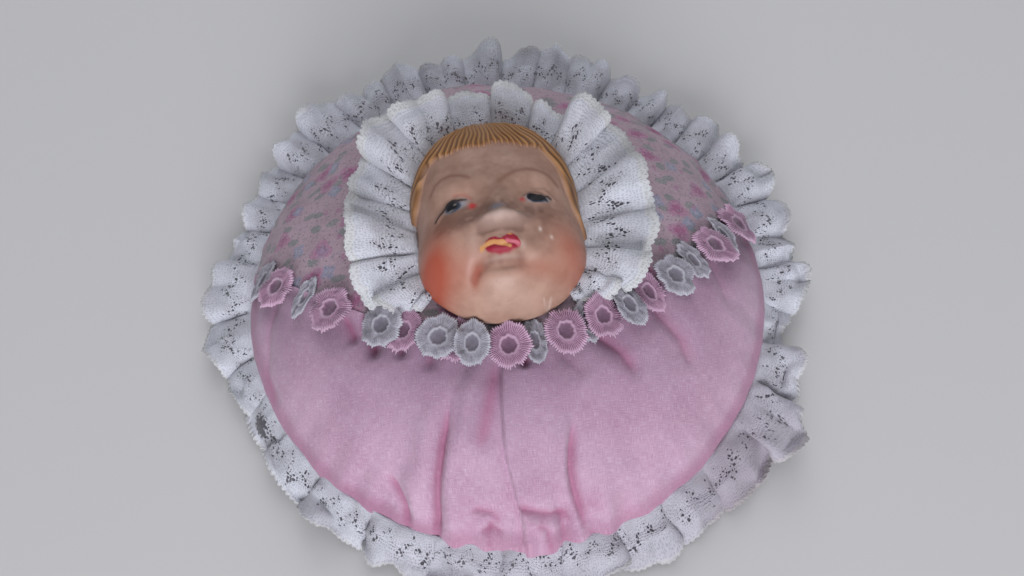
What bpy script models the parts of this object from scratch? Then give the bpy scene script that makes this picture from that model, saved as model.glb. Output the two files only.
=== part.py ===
"""A round stuffed pincushion with a moulded doll face on its crown.

The doll lies on its back: +Z is up through the crown, +Y runs from the chin to the hair, and the origin is the
centre of the flat underside. A flowered upper cloth and a plain blanket cloth meet under a row of daisy motifs,
one lace frill stands round the face and another is caught in the edge seam.
"""
import math

import bmesh
import bpy
import numpy as np

# Cushion, in metres
SEAM_RADIUS = 0.083
SEAM_HEIGHT = 0.012
CROWN_RISE = 0.038
BASE_RADIUS = 0.052
CROWN_FLATNESS = 2.6
SHOULDER_ROUNDING = 0.75

# Cloth and the gap that touching pieces keep
CLOTH = 0.0008
CLEARANCE = 0.0003

# Doll face, a hollow mask
FACE_WIDTH = 0.050
FOREHEAD_HEIGHT = 0.0345
CHIN_HEIGHT = 0.031
FACE_DEPTH = 0.0235
FACE_WALL = 0.0018
FACE_SQUARENESS = 2.3
FACE_PLACE = (-0.0025, 0.0030)
FACE_TILT = math.radians(6.0)
WADDING_HOLLOW_DEPTH = 1.2

# Lace frills
LACE = 0.0006
EDGE_FRILL_WIDTH = 0.017
EDGE_FRILL_FOLDS = 36
EDGE_FRILL_FOLD_DEPTH = 0.0026
EDGE_FRILL_DEPTH_SWING = 0.4
EDGE_FRILL_TILT = math.radians(5.0)
EDGE_FRILL_TILT_SWING = math.radians(30.0)
FACE_FRILL_WIDTH = 0.018
FACE_FRILL_FOLDS = 15
FACE_FRILL_FOLD_DEPTH = 0.0026
FACE_FRILL_TILT = math.radians(24.0)
FACE_FRILL_START = math.radians(-38.0)
FACE_FRILL_END = math.radians(207.0)
FRILL_ROWS = (0.35, 0.7, 1.0)

# Neckline, a parabola that passes just below the chin and ends on the edge seam
NECK_BELOW_CHIN = 0.0035
NECK_END_HEIGHT = 0.017

# Daisy motifs: each one's share of the neckline, from its left end, 0, to its right end, 1, and whether it is laid
# first, 0, second, 1, or last, 2
DAISY_RADIUS = 0.0070
DAISY_THICKNESS = 0.0008
DAISY_PETALS = 8
DAISY_PETAL_NOTCH = 0.07
DAISY_EYE = 0.38
DAISY_EASE = 0.2
TRIM_FADE = 0.006
PINK_DAISIES = ((0.094, 1), (0.206, 1), (0.324, 0), (0.403, 0), (0.478, 1), (0.560, 2), (0.620, 1), (0.706, 0),
                (0.854, 1), (0.938, 1))
WHITE_DAISIES = ((0.044, 0), (0.148, 0), (0.293, 1), (0.380, 1), (0.428, 2), (0.516, 0), (0.595, 0), (0.660, 2),
                 (0.755, 1), (0.806, 0), (0.897, 0))

# Facets
TURN_STEPS = 40
RISE_STEPS = 9
FACE_STEPS = 40
FACE_RINGS = 11
NECK_STEPS = 24


def linear(hex_colour):
    """sRGB hex to linear red, green, blue."""
    channels = [int(hex_colour[i:i + 2], 16) / 255 for i in (0, 2, 4)]
    return [c / 12.92 if c <= 0.04045 else ((c + 0.055) / 1.055) ** 2.4 for c in channels]


def material(name, hex_colour, roughness):
    """A plain Principled material of one colour."""
    found = bpy.data.materials.get(name)
    if found:
        return found
    made = bpy.data.materials.new(name)
    made.use_nodes = True
    shader = made.node_tree.nodes["Principled BSDF"]
    shader.inputs["Base Color"].default_value = (*linear(hex_colour), 1.0)
    shader.inputs["Roughness"].default_value = roughness
    shader.inputs["Metallic"].default_value = 0.0
    return made


def finish(name, builder, surface):
    """Puts a bmesh into a smooth-shaded object of the given name and material."""
    bmesh.ops.recalc_face_normals(builder, faces=builder.faces)
    mesh = bpy.data.meshes.new(name)
    builder.to_mesh(mesh)
    builder.free()
    mesh.shade_smooth()
    mesh.set_sharp_from_angle(angle=math.radians(40))
    made = bpy.data.objects.new(name, mesh)
    made.data.materials.append(surface)
    bpy.context.scene.collection.objects.link(made)
    return made


def crown_share(share):
    """Height of the crown, from 1 at its middle to 0 at the seam, at a share of the seam's radius."""
    inside = np.clip(share, 0.0, 1.0)
    return np.maximum(1.0 - inside ** CROWN_FLATNESS, 0.0) ** SHOULDER_ROUNDING


def crown_point(x, y):
    """Height of the upper cloth's outer surface above a point of the plan."""
    return SEAM_HEIGHT + CROWN_RISE * crown_share(np.hypot(x, y) / SEAM_RADIUS)


def crown_normal(x, y):
    """Unit normals of the upper cloth, from the height's slope along X and Y."""
    step = 1e-5
    slope_x = (crown_point(x + step, y) - crown_point(x - step, y)) / (2 * step)
    slope_y = (crown_point(x, y + step) - crown_point(x, y - step)) / (2 * step)
    normal = np.stack([-slope_x, -slope_y, np.ones_like(slope_x)], axis=-1)
    return normal / np.linalg.norm(normal, axis=-1, keepdims=True)


def crown_profile(radius, foot, rise):
    """Radius and height down the crown from its middle to its edge, closer together near the edge."""
    turn = np.linspace(0.0, math.pi / 2, RISE_STEPS)
    share = np.sin(turn)
    return [(radius * s, foot + rise * float(crown_share(s))) for s in share]


def base_profile(radius, floor, rim):
    """Radius and height along the underside from its middle out: flat, then a parabola up to the seam."""
    out = [(0.0, floor)]
    for share in np.linspace(0.0, 1.0, 5):
        out.append((BASE_RADIUS + (radius - BASE_RADIUS) * share, floor + (rim - floor) * share ** 2))
    return out


def turned(name, profile, surface):
    """Spins a profile, which starts and ends on the Z axis, once round it."""
    builder = bmesh.new()
    points = [builder.verts.new((radius, 0.0, height)) for radius, height in profile]
    edges = [builder.edges.new(pair) for pair in zip(points, points[1:])]
    bmesh.ops.spin(builder, geom=points + edges, cent=(0, 0, 0), axis=(0, 0, 1), angle=2 * math.pi,
                   steps=TURN_STEPS, use_merge=True)
    bmesh.ops.remove_doubles(builder, verts=builder.verts, dist=1e-6)
    return finish(name, builder, surface)


def bridged(name, rings, surface, poles):
    """Joins closed rings of points by faces, and closes both ends onto their poles."""
    builder = bmesh.new()
    loops = [[builder.verts.new(point) for point in ring] for ring in rings]
    count = len(loops[0])
    for inner, outer in zip(loops, loops[1:]):
        for i in range(count):
            j = (i + 1) % count
            builder.faces.new((inner[i], outer[i], outer[j], inner[j]))
    for pole, loop in zip(poles, (loops[0], loops[-1])):
        tip = builder.verts.new(pole)
        for i in range(count):
            builder.faces.new((tip, loop[i], loop[(i + 1) % count]))
    return finish(name, builder, surface)


def strip(name, rows, surface, closed, thickness):
    """A sheet through rows of points, thickened evenly on both sides."""
    builder = bmesh.new()
    grid = [[builder.verts.new(point) for point in row] for row in rows]
    pairs = list(zip(grid, grid[1:]))
    if closed:
        pairs.append((grid[-1], grid[0]))
    for here, ahead in pairs:
        for i in range(len(here) - 1):
            builder.faces.new((here[i], here[i + 1], ahead[i + 1], ahead[i]))
    made = finish(name, builder, surface)
    solid = made.modifiers.new("thickness", "SOLIDIFY")
    solid.thickness = thickness
    solid.offset = 0.0
    solid.use_even_offset = True
    return made


def face_frame():
    """Origin and axes of the mask: across the cheeks, up to the hair, and out through the nose."""
    x, y = FACE_PLACE
    rim_drop = 1.0 - float(crown_share(FACE_WIDTH / 2 / SEAM_RADIUS))
    foot = float(crown_point(x, y)) - 2 * rim_drop * CROWN_RISE
    across = np.array([1.0, 0.0, 0.0])
    up = np.array([0.0, math.cos(FACE_TILT), -math.sin(FACE_TILT)])
    return np.array([x, y, foot]), across, up, np.cross(across, up)


def face_outline(angle):
    """Distance from the mask's middle to its rim: a rounded oval, longer over the forehead than under the chin."""
    height = np.where(np.sin(angle) > 0, FOREHEAD_HEIGHT, CHIN_HEIGHT)
    across = np.abs(np.cos(angle) / (FACE_WIDTH / 2)) ** FACE_SQUARENESS
    along = np.abs(np.sin(angle) / height) ** FACE_SQUARENESS
    return (across + along) ** (-1 / FACE_SQUARENESS)


def bump(u, v, place, size):
    """A smooth mound, 1 at its place, of the given half sizes. Lengths are shares of the face's width."""
    return np.exp(-((u - place[0]) / size[0]) ** 2 - ((v - place[1]) / size[1]) ** 2)


def face_features(u, v):
    """Height that the features add to the plain oval, in shares of the face's width."""
    side = np.abs(u)
    sockets = -0.045 * bump(side, v, (0.235, -0.085), (0.12, 0.08))
    eyes = 0.026 * bump(side, v, (0.235, -0.10), (0.075, 0.05))
    brows = 0.016 * bump(side, v, (0.22, 0.07), (0.16, 0.06))
    bridge = 0.035 * bump(u, v, (0.0, -0.14), (0.07, 0.13))
    nose = 0.060 * bump(u, v, (0.0, -0.26), (0.085, 0.075))
    cheeks = 0.035 * bump(side, v, (0.30, -0.30), (0.15, 0.15))
    lips = 0.038 * bump(u, v, (0.0, -0.385), (0.11, 0.055))
    crease = -0.035 * bump(u, v, (0.0, -0.465), (0.12, 0.03))
    chin = 0.045 * bump(u, v, (0.0, -0.54), (0.12, 0.06))
    return sockets + eyes + brows + bridge + nose + cheeks + lips + crease + chin


def face_relief(u, v, plain):
    """The features' height in metres. A plain surface keeps only their hollows, a little deeper."""
    relief = FACE_WIDTH * face_features(u / FACE_WIDTH, v / FACE_WIDTH)
    return WADDING_HOLLOW_DEPTH * np.minimum(relief, 0.0) if plain else relief


def face_ring(share, inset, plain=False):
    """One ring of the mask at a share of its outline. The inset moves it inwards by a wall or a gap."""
    origin, across, up, out = face_frame()
    angle = np.linspace(0.0, 2 * math.pi, FACE_STEPS, endpoint=False)
    reach = (face_outline(angle) - inset) * share
    u = reach * np.cos(angle)
    v = reach * np.sin(angle)
    rise = (FACE_DEPTH - inset) * max(1.0 - share ** CROWN_FLATNESS, 0.0) ** 0.5
    relief = face_relief(u, v, plain) * (1.0 - share ** 4)
    points = origin + u[:, None] * across + v[:, None] * up + (rise + relief)[:, None] * out
    seat = crown_point(points[:, 0], points[:, 1]) + CLEARANCE
    points[:, 2] = np.maximum(points[:, 2], seat + (1.0 - share) * 1e-4)
    if share == 1.0:
        points[:, 2] = seat
    return points


def face_shares():
    """Shares of the outline from near the middle to the rim, closer together where the mask turns steep."""
    return [math.sin(turn) for turn in np.linspace(0.0, math.pi / 2, FACE_RINGS + 1)[1:]]


def face_pole(inset, plain=False):
    """The middle point of a mask surface."""
    origin, _, _, out = face_frame()
    relief = float(face_relief(np.zeros(1), np.zeros(1), plain)[0])
    return origin + (FACE_DEPTH - inset + relief) * out


def make_face(surface):
    """The mask: its outer surface down to the rim, across the rim and up its hollow back."""
    shares = face_shares()
    rings = [face_ring(share, 0.0) for share in shares]
    rings += [face_ring(share, FACE_WALL) for share in reversed(shares)]
    return bridged("doll_face", rings, surface, (face_pole(0.0), face_pole(FACE_WALL)))


def make_face_wadding(surface):
    """The fill of the mask's hollow, which stands on the crown of the cushion."""
    inset = FACE_WALL + CLEARANCE
    shares = face_shares()
    rings = [face_ring(share, inset, plain=True) for share in shares]
    foot = []
    for share in (0.66, 0.33):
        ring = rings[-1]
        centre = ring.mean(axis=0)
        shrunk = centre + (ring - centre) * share
        shrunk[:, 2] = crown_point(shrunk[:, 0], shrunk[:, 1]) + CLEARANCE
        foot.append(shrunk)
    middle = foot[-1].mean(axis=0)
    middle[2] = float(crown_point(middle[0], middle[1])) + CLEARANCE
    return bridged("face_wadding", rings + foot, surface, (face_pole(inset, plain=True), middle))


def neck_shape():
    """Lowest point of the neckline, its end on the seam and the parabola's bend between them."""
    low = FACE_PLACE[1] - CHIN_HEIGHT - NECK_BELOW_CHIN
    end = math.sqrt(SEAM_RADIUS ** 2 - NECK_END_HEIGHT ** 2)
    bend = (NECK_END_HEIGHT - low) / end ** 2
    return low, end, bend


def neck_point(share):
    """Plan point of the neckline at a share of its length, measured along the parabola."""
    low, end, bend = neck_shape()
    x = np.linspace(-end, end, 400)
    y = low + bend * x ** 2
    length = np.concatenate([[0.0], np.cumsum(np.hypot(np.diff(x), np.diff(y)))])
    along = share * length[-1]
    return float(np.interp(along, length, x)), float(np.interp(along, length, y))


def neck_cutter(name, shift):
    """A tall prism that holds all of the plan below the neckline, which is shifted along Y."""
    low, end, bend = neck_shape()
    far = 1.5 * end
    outline = [(x, low + bend * x ** 2 + shift) for x in np.linspace(-far, far, NECK_STEPS)]
    outline += [(far, -2 * SEAM_RADIUS), (-far, -2 * SEAM_RADIUS)]
    builder = bmesh.new()
    base = builder.faces.new([builder.verts.new((x, y, -SEAM_RADIUS)) for x, y in outline])
    raised = bmesh.ops.extrude_face_region(builder, geom=[base])
    lifted = [item for item in raised["geom"] if isinstance(item, bmesh.types.BMVert)]
    bmesh.ops.translate(builder, vec=(0, 0, 3 * SEAM_RADIUS), verts=lifted)
    made = finish(name, builder, material("guide", "808080", 0.8))
    made.hide_render = True
    made.display_type = "WIRE"
    return made


def make_upper_cloth(name, surface, operation, shift):
    """One of the two upper cloths: a domed shell, cut along the neckline."""
    foot = SEAM_HEIGHT + LACE / 2 + CLEARANCE
    rise = SEAM_HEIGHT + CROWN_RISE - foot
    outer = crown_profile(SEAM_RADIUS, foot, rise)
    inner = crown_profile(SEAM_RADIUS - CLOTH, foot, rise - CLOTH)
    made = turned(name, outer + inner[::-1], surface)
    cut = made.modifiers.new("neckline", "BOOLEAN")
    cut.operation = operation
    cut.solver = "EXACT"
    cut.object = neck_cutter(name + "_cutter", shift)
    return made


def make_back_cover(surface):
    """The underside cloth: a flat middle that rises to the edge seam."""
    rim = SEAM_HEIGHT - LACE / 2 - CLEARANCE
    outer = base_profile(SEAM_RADIUS, 0.0, rim)
    inner = base_profile(SEAM_RADIUS - CLOTH, CLOTH, rim)
    return turned("back_cover", outer + inner[::-1], surface)


def make_stuffing(surface):
    """The wadding that fills the covers."""
    radius = SEAM_RADIUS - CLOTH - CLEARANCE
    top = crown_profile(radius, SEAM_HEIGHT, CROWN_RISE - CLOTH - CLEARANCE)
    bottom = base_profile(radius, CLOTH + CLEARANCE, SEAM_HEIGHT)
    return turned("stuffing", top + bottom[::-1][1:], surface)


def make_edge_frill(surface):
    """The lace ring in the edge seam: flat where it is sewn, then folds that deepen outwards."""
    turn = np.linspace(0.0, 2 * math.pi, EDGE_FRILL_FOLDS * 4, endpoint=False)
    tilt = EDGE_FRILL_TILT + EDGE_FRILL_TILT_SWING * np.sin(turn)
    depth = EDGE_FRILL_FOLD_DEPTH * (1.0 + EDGE_FRILL_DEPTH_SWING * np.sin(turn))
    columns = [(SEAM_RADIUS - CLOTH, SEAM_HEIGHT + 0 * turn), (SEAM_RADIUS + 2 * CLEARANCE, SEAM_HEIGHT + 0 * turn)]
    for share in FRILL_ROWS:
        reach = EDGE_FRILL_WIDTH * share
        fold = depth * share * np.cos(EDGE_FRILL_FOLDS * turn)
        columns.append((SEAM_RADIUS + reach * np.cos(tilt), SEAM_HEIGHT + reach * np.sin(tilt) + fold))
    points = [np.stack([radius * np.cos(turn), radius * np.sin(turn), height], axis=-1) for radius, height in columns]
    return strip("edge_ruffle", np.stack(points, axis=1), surface, True, LACE)


def trim_height(plan):
    """Height that the stacked motifs reach above the upper cloth: full along the neckline, and fading past them."""
    trim = np.array([neck_point(share) for share in np.linspace(0.0, 1.0, 60)])
    distance = np.linalg.norm(plan[:, None] - trim[None], axis=-1).min(axis=1)
    petals = DAISY_RADIUS * (1.0 + DAISY_PETAL_NOTCH)
    fade = np.clip((petals + TRIM_FADE - distance) / TRIM_FADE, 0.0, 1.0)
    stack = (1 + max(daisy_levels().values())) * (DAISY_THICKNESS + CLEARANCE)
    return fade * stack / crown_normal(plan[:, 0], plan[:, 1])[:, 2]


def make_face_frill(surface):
    """The lace frill round the face, open under the chin, which leans away from the mask and over the trim."""
    count = FACE_FRILL_FOLDS * 5 + 1
    turn = np.linspace(FACE_FRILL_START, FACE_FRILL_END, count)
    fold = np.cos(np.linspace(0.0, 2 * math.pi * FACE_FRILL_FOLDS, count))
    away = np.stack([np.cos(turn), np.sin(turn)], axis=-1)
    rows = []
    for share in (0.0, *FRILL_ROWS):
        reach = FACE_FRILL_WIDTH * share
        beyond = face_outline(turn) + 2 * CLEARANCE + LACE + reach * math.cos(FACE_FRILL_TILT)
        plan = np.array(FACE_PLACE) + away * beyond[:, None]
        lean = reach * math.sin(FACE_FRILL_TILT) + FACE_FRILL_FOLD_DEPTH * share * fold
        lift = 2 * CLEARANCE + LACE + np.maximum(lean, trim_height(plan))
        height = crown_point(plan[:, 0], plan[:, 1]) + lift
        rows.append(np.column_stack([plan, height]))
    return strip("face_ruffle", np.stack(rows, axis=1), surface, False, LACE)


def clear_of_face(x, y):
    """Eases plan points out of the mask's rim: their distance to it stays above the clearance."""
    off = np.stack([x - FACE_PLACE[0], y - FACE_PLACE[1]], axis=-1)
    distance = np.hypot(off[..., 0], off[..., 1])
    rim = face_outline(np.arctan2(off[..., 1], off[..., 0])) + CLEARANCE
    beyond = distance - rim
    eased = 0.5 * (beyond + np.sqrt(beyond ** 2 + (DAISY_EASE * DAISY_RADIUS) ** 2))
    scale = (rim + eased) / distance
    return FACE_PLACE[0] + off[..., 0] * scale, FACE_PLACE[1] + off[..., 1] * scale


def draped(x, y, offset):
    """Points of the plan lifted to an even distance above the upper cloth."""
    base = np.stack([x, y, crown_point(x, y)], axis=-1)
    return base + offset * crown_normal(x, y)


def daisy_levels():
    """How many motifs lie under each share: one more than the highest that was laid before it within its reach."""
    shares = [share for share, _ in sorted(PINK_DAISIES + WHITE_DAISIES, key=lambda motif: motif[::-1])]
    plan = np.array([neck_point(share) for share in shares])
    centres = np.column_stack([plan, crown_point(plan[:, 0], plan[:, 1])])
    reach = 2 * DAISY_RADIUS * (1.0 + DAISY_PETAL_NOTCH) + CLEARANCE
    levels = {}
    for number, share in enumerate(shares):
        apart = np.linalg.norm(centres[:number] - centres[number], axis=1)
        under = [levels[other] for other, gap in zip(shares, apart) if gap < reach]
        levels[share] = 1 + max(under) if under else 0
    return levels


def make_daisy(name, share, level, surface):
    """One embroidered motif: scalloped petals round a thinner eye, laid on the cloth or on the motifs below it."""
    x, y = neck_point(share)
    normal = crown_normal(np.array(x), np.array(y))
    along = np.cross(normal, (0.0, 1.0, 0.0))
    along /= -np.linalg.norm(along)
    beside = np.cross(normal, along)
    turn = np.linspace(0.0, 2 * math.pi, 2 * DAISY_PETALS, endpoint=False)
    edge = DAISY_RADIUS * (1.0 + DAISY_PETAL_NOTCH * np.cos(DAISY_PETALS * turn))
    low = CLEARANCE + level * (DAISY_THICKNESS + CLEARANCE)

    def ring(radius, offset):
        step = np.cos(turn)[:, None] * along[:2] + np.sin(turn)[:, None] * beside[:2]
        plan = np.array([x, y]) + step * np.reshape(radius * np.ones_like(turn), (-1, 1))
        return draped(*clear_of_face(plan[:, 0], plan[:, 1]), offset)

    eye = DAISY_EYE * DAISY_RADIUS
    top = low + DAISY_THICKNESS
    middle = low + DAISY_THICKNESS / 2
    centre = clear_of_face(np.array([x]), np.array([y]))
    poles = (draped(*centre, middle)[0], draped(*centre, low)[0])
    rings = [ring(eye, top), ring(edge, top), ring(edge, low), ring(eye, low)]
    return bridged(name, rings, surface, poles)


def build():
    """Clears the scene and makes every piece."""
    for found in list(bpy.data.objects):
        bpy.data.objects.remove(found, do_unlink=True)
    wadding = material("polyester_wadding", "E9E4DA", 0.95)
    flowered = material("flowered_cotton", "C9A3AE", 0.85)
    plain = material("plain_pink_cotton", "E3A6BF", 0.85)
    calico = material("back_cotton", "D9A9B8", 0.88)
    plastic = material("painted_moulded_plastic", "C99A80", 0.42)
    lace = material("cotton_lace", "E4E3DE", 0.85)
    pink_silk = material("pink_embroidery", "D193B2", 0.6)
    white_silk = material("white_embroidery", "D9D8D6", 0.6)
    make_stuffing(wadding)
    make_back_cover(calico)
    make_upper_cloth("blanket", plain, "INTERSECT", -CLEARANCE)
    make_upper_cloth("bonnet_cover", flowered, "DIFFERENCE", CLEARANCE)
    make_face(plastic)
    make_face_wadding(wadding)
    make_edge_frill(lace)
    make_face_frill(lace)
    levels = daisy_levels()
    for colour, motifs, surface in (("pink", PINK_DAISIES, pink_silk), ("white", WHITE_DAISIES, white_silk)):
        for number, (share, _) in enumerate(motifs, start=1):
            make_daisy(f"{colour}_daisy_{number:02d}", share, levels[share], surface)


build()
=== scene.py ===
"""The pincushion doll's looks: gathered cotton, cotton lace, embroidered daisies and a painted plastic face.

Shapes are worked out in millimetres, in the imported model's frame. The doll lies on its back: +Z is up through the
crown, +Y runs from the chin to the hair, and the floor is z = 0.
"""
import math

import bpy
import numpy as np
from mathutils import Matrix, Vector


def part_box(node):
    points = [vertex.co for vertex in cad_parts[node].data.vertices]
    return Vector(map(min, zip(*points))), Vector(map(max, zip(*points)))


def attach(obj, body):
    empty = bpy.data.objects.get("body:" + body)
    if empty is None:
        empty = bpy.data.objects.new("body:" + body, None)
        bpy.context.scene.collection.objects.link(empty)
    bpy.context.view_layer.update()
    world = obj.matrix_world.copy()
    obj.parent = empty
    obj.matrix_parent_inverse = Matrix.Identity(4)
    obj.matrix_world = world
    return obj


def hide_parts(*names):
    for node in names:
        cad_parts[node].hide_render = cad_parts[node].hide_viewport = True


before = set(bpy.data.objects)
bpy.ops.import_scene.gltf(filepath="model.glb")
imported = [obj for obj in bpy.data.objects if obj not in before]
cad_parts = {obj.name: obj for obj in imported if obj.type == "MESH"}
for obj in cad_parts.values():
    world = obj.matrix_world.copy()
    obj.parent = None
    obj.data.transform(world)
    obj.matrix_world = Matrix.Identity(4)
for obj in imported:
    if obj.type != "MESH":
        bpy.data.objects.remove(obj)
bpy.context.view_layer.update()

METRE = 0.001
FULL_TURN = 2 * math.pi

# Cushion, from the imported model, and the two exponents that give its crown's curve
SEAM_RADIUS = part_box("back_cover")[1][0] / METRE
CROWN_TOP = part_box("bonnet_cover")[1][2] / METRE
SEAM_HEIGHT = 12.0
CROWN_FLATNESS = 2.6
SHOULDER_ROUNDING = 0.75
BASE_RADIUS = 52.0
CLOTH = 0.8
BLANKET_LIFT = 0.45
BLANKET_OVERLAP = 1.5
BONNET_SETBACK = 0.5
TUCK_SHARE = 0.985
TUCK_DROP = 0.8
FILL_GAP = 8.0
BACK_PUCKERS = 52

# Doll face
FACE_WIDTH = 50.0
FOREHEAD_HEIGHT = 34.5
CHIN_HEIGHT = 31.0
FACE_DEPTH = 23.5
FACE_WALL = 1.8
FACE_SQUARENESS = 2.3
FACE_PLACE = (-2.5, 3.0)
FACE_TILT = math.radians(6.0)
FACE_SEAT = 0.3

# Moulded hair: its grooves fan out from a point above the forehead
GROOVES = 98
COMB_POINT = (-1.0, 41.0)
HAIR_THICKNESS = 0.9
GROOVE_DEPTH = 0.34
LOCK_DEPTH = 0.18

# Neckline, where the two upper cloths meet
NECK_LOW = -31.5
NECK_END_HEIGHT = 17.0

# Lace
EDGE_FRILL_WIDTH = 17.0
FACE_FRILL_WIDTH = 18.0
LACE = 0.35
LACE_COLUMN = 0.62
LACE_TUCKED_IN = 1.0
TOOTH_SPACING = 1.9
TOOTH_LENGTH = 0.95
SCALLOP_SPACING = 11.0
SCALLOP_DEPTH = 0.9

# Daisies
DAISY_RADIUS = 6.2
DAISY_LEVEL = 1.4
DAISY_EYE = 0.42
STITCHES = 56

# Points along one side of the table of random heights, and length of the list of random amounts for a frill's panels
LATTICE = 61
PANEL_AMOUNTS = 64


def srgb(colour):
    """An sRGB hex colour as linear red, green, blue and alpha."""
    channels = [int(colour[i:i + 2], 16) / 255 for i in (0, 2, 4)]
    return (*[c / 12.92 if c <= 0.04045 else ((c + 0.055) / 1.055) ** 2.4 for c in channels], 1.0)


def smooth(value, start, end):
    """A smooth step: 0 up to start, 1 past end, and 3x^2 - 2x^3 between them."""
    x = np.clip((value - start) / (end - start), 0.0, 1.0)
    return x * x * (3.0 - 2.0 * x)


def noise(x, y, size, seed, shift=90.0):
    """Seeded random heights from -1 to 1 on a square lattice, joined by smooth steps in both directions.

    The shift moves the lattice along both axes, so that no two uses meet the same part of it.
    """
    table = np.random.default_rng(seed).uniform(-1.0, 1.0, (LATTICE, LATTICE))
    x, y = (x + shift) / size, (y + shift) / size
    column, row = np.floor(x).astype(int), np.floor(y).astype(int)
    across, along = x - column, y - row
    across, along = across * across * (3 - 2 * across), along * along * (3 - 2 * along)
    left, right, low, high = column % LATTICE, (column + 1) % LATTICE, row % LATTICE, (row + 1) % LATTICE
    near = table[left, low] * (1 - across) + table[right, low] * across
    far = table[left, high] * (1 - across) + table[right, high] * across
    return near * (1 - along) + far * along


def ring_noise(turn, radius, size, seed, shift=60.0):
    """Noise read along a circle, so that it meets itself after one turn."""
    return noise(radius * np.cos(turn), radius * np.sin(turn), size, seed, shift)


def blob(u, v, place, size):
    """A soft round spot: e to the minus square of the distance, measured in its half sizes."""
    return np.exp(-((u - place[0]) / size[0]) ** 2 - ((v - place[1]) / size[1]) ** 2)


def line_distance(u, v, path):
    """Distance to a polyline, the side of it (positive on its left) and the share of it at the nearest point."""
    path = np.asarray(path, float)
    steps = np.diff(path, axis=0)
    lengths = np.hypot(steps[:, 0], steps[:, 1])
    before = np.concatenate([[0.0], np.cumsum(lengths)])
    best = np.full(np.shape(u), np.inf)
    side = np.zeros(np.shape(u))
    share = np.zeros(np.shape(u))
    for start, step, length, run in zip(path, steps, lengths, before):
        du, dv = u - start[0], v - start[1]
        along = np.clip((du * step[0] + dv * step[1]) / length ** 2, 0.0, 1.0)
        gap = np.hypot(du - along * step[0], dv - along * step[1])
        nearer = gap < best
        best = np.where(nearer, gap, best)
        side = np.where(nearer, np.sign(step[0] * dv - step[1] * du), side)
        share = np.where(nearer, (run + along * length) / before[-1], share)
    return best, side, share


def stroke(u, v, path, width):
    """A painted line along a polyline, 1 in its middle and fading over its half width."""
    return np.exp(-(line_distance(u, v, path)[0] / width) ** 2)


def spots(u, v, table):
    """Sum of soft spots, each given by its strength, its place and its half sizes."""
    return sum(strength * blob(u, v, place, size) for strength, place, size in table)


def strokes(u, v, table):
    """Sum of painted lines, each given by its strength, its path and its half width."""
    return sum(strength * stroke(u, v, path, width) for strength, path, width in table)


def new_object(name, data):
    """A new object, linked into the scene."""
    made = bpy.data.objects.new(name, data)
    bpy.context.scene.collection.objects.link(made)
    return made


def surface(name, points, paint, around=False, flip=False, uv=None, masks=None, weld=False):
    """Puts a grid of points, in millimetres, into a mesh of quads that rides on the root body.

    Around joins the last row to the first, flip turns the faces over, uv holds the cloth's flat coordinates, masks
    hold a number for each point, and weld closes the poles, where a whole row meets in one point.
    """
    rows, columns = points.shape[:2]
    index = np.arange(rows * columns).reshape(rows, columns)
    if around:
        index = np.vstack([index, index[:1]])
    quads = np.stack([index[:-1, :-1], index[:-1, 1:], index[1:, 1:], index[1:, :-1]], axis=-1)
    quads = quads.reshape(-1, 4)
    if flip:
        quads = quads[:, ::-1]
    mesh = bpy.data.meshes.new(name)
    mesh.vertices.add(rows * columns)
    mesh.vertices.foreach_set("co", (points.reshape(-1, 3) * METRE).astype(np.float32).ravel())
    mesh.loops.add(quads.size)
    mesh.loops.foreach_set("vertex_index", quads.ravel().astype(np.int32))
    mesh.polygons.add(len(quads))
    mesh.polygons.foreach_set("loop_start", np.arange(0, quads.size, 4, dtype=np.int32))
    mesh.update(calc_edges=True)
    if uv is not None:
        length = uv[-1, 0, 0] + (uv[1, 0, 0] - uv[0, 0, 0]) if around else 0.0
        flat = uv.reshape(-1, 2)[quads.ravel()]
        if around:
            last = (np.arange(len(quads)) >= (rows - 1) * (columns - 1)).repeat(4)
            flat[:, 0] += length * (last & (flat[:, 0] < length / 2))
        mesh.uv_layers.new(name="cloth").uv.foreach_set("vector", flat.astype(np.float32).ravel())
    for key, values in (masks or {}).items():
        layer = mesh.attributes.new(key, "FLOAT", "POINT")
        layer.data.foreach_set("value", np.ascontiguousarray(values, dtype=np.float32).ravel())
    mesh.validate()
    mesh.shade_smooth()
    mesh.materials.append(paint)
    made = new_object(name, mesh)
    if weld:
        close_poles(made)
    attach(made, "root")
    return made


def close_poles(piece):
    """Merges the points that fell together at a pole."""
    weld = piece.modifiers.new("poles", "WELD")
    weld.merge_threshold = 1e-6
    apply_modifiers(piece)


def apply_modifiers(piece):
    """Replaces a piece's mesh by what its modifiers make of it."""
    shaped = bpy.data.meshes.new_from_object(piece.evaluated_get(bpy.context.evaluated_depsgraph_get()))
    piece.modifiers.clear()
    piece.data = shaped


def thicken(piece, thickness):
    """Gives a sheet its thickness, even on both sides."""
    solid = piece.modifiers.new("thickness", "SOLIDIFY")
    solid.thickness = thickness * METRE
    solid.offset = 0.0
    apply_modifiers(piece)


# Cushion

def crown_share(share):
    """Height of the crown from 1 at its middle to 0 at the seam: (1 - share^2.6)^0.75."""
    inside = np.clip(share, 0.0, 1.0)
    return np.maximum(1.0 - inside ** CROWN_FLATNESS, 0.0) ** SHOULDER_ROUNDING


def crown(x, y):
    """Height of the upper cloth over a point of the plan."""
    return SEAM_HEIGHT + (CROWN_TOP - SEAM_HEIGHT) * crown_share(np.hypot(x, y) / SEAM_RADIUS)


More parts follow.
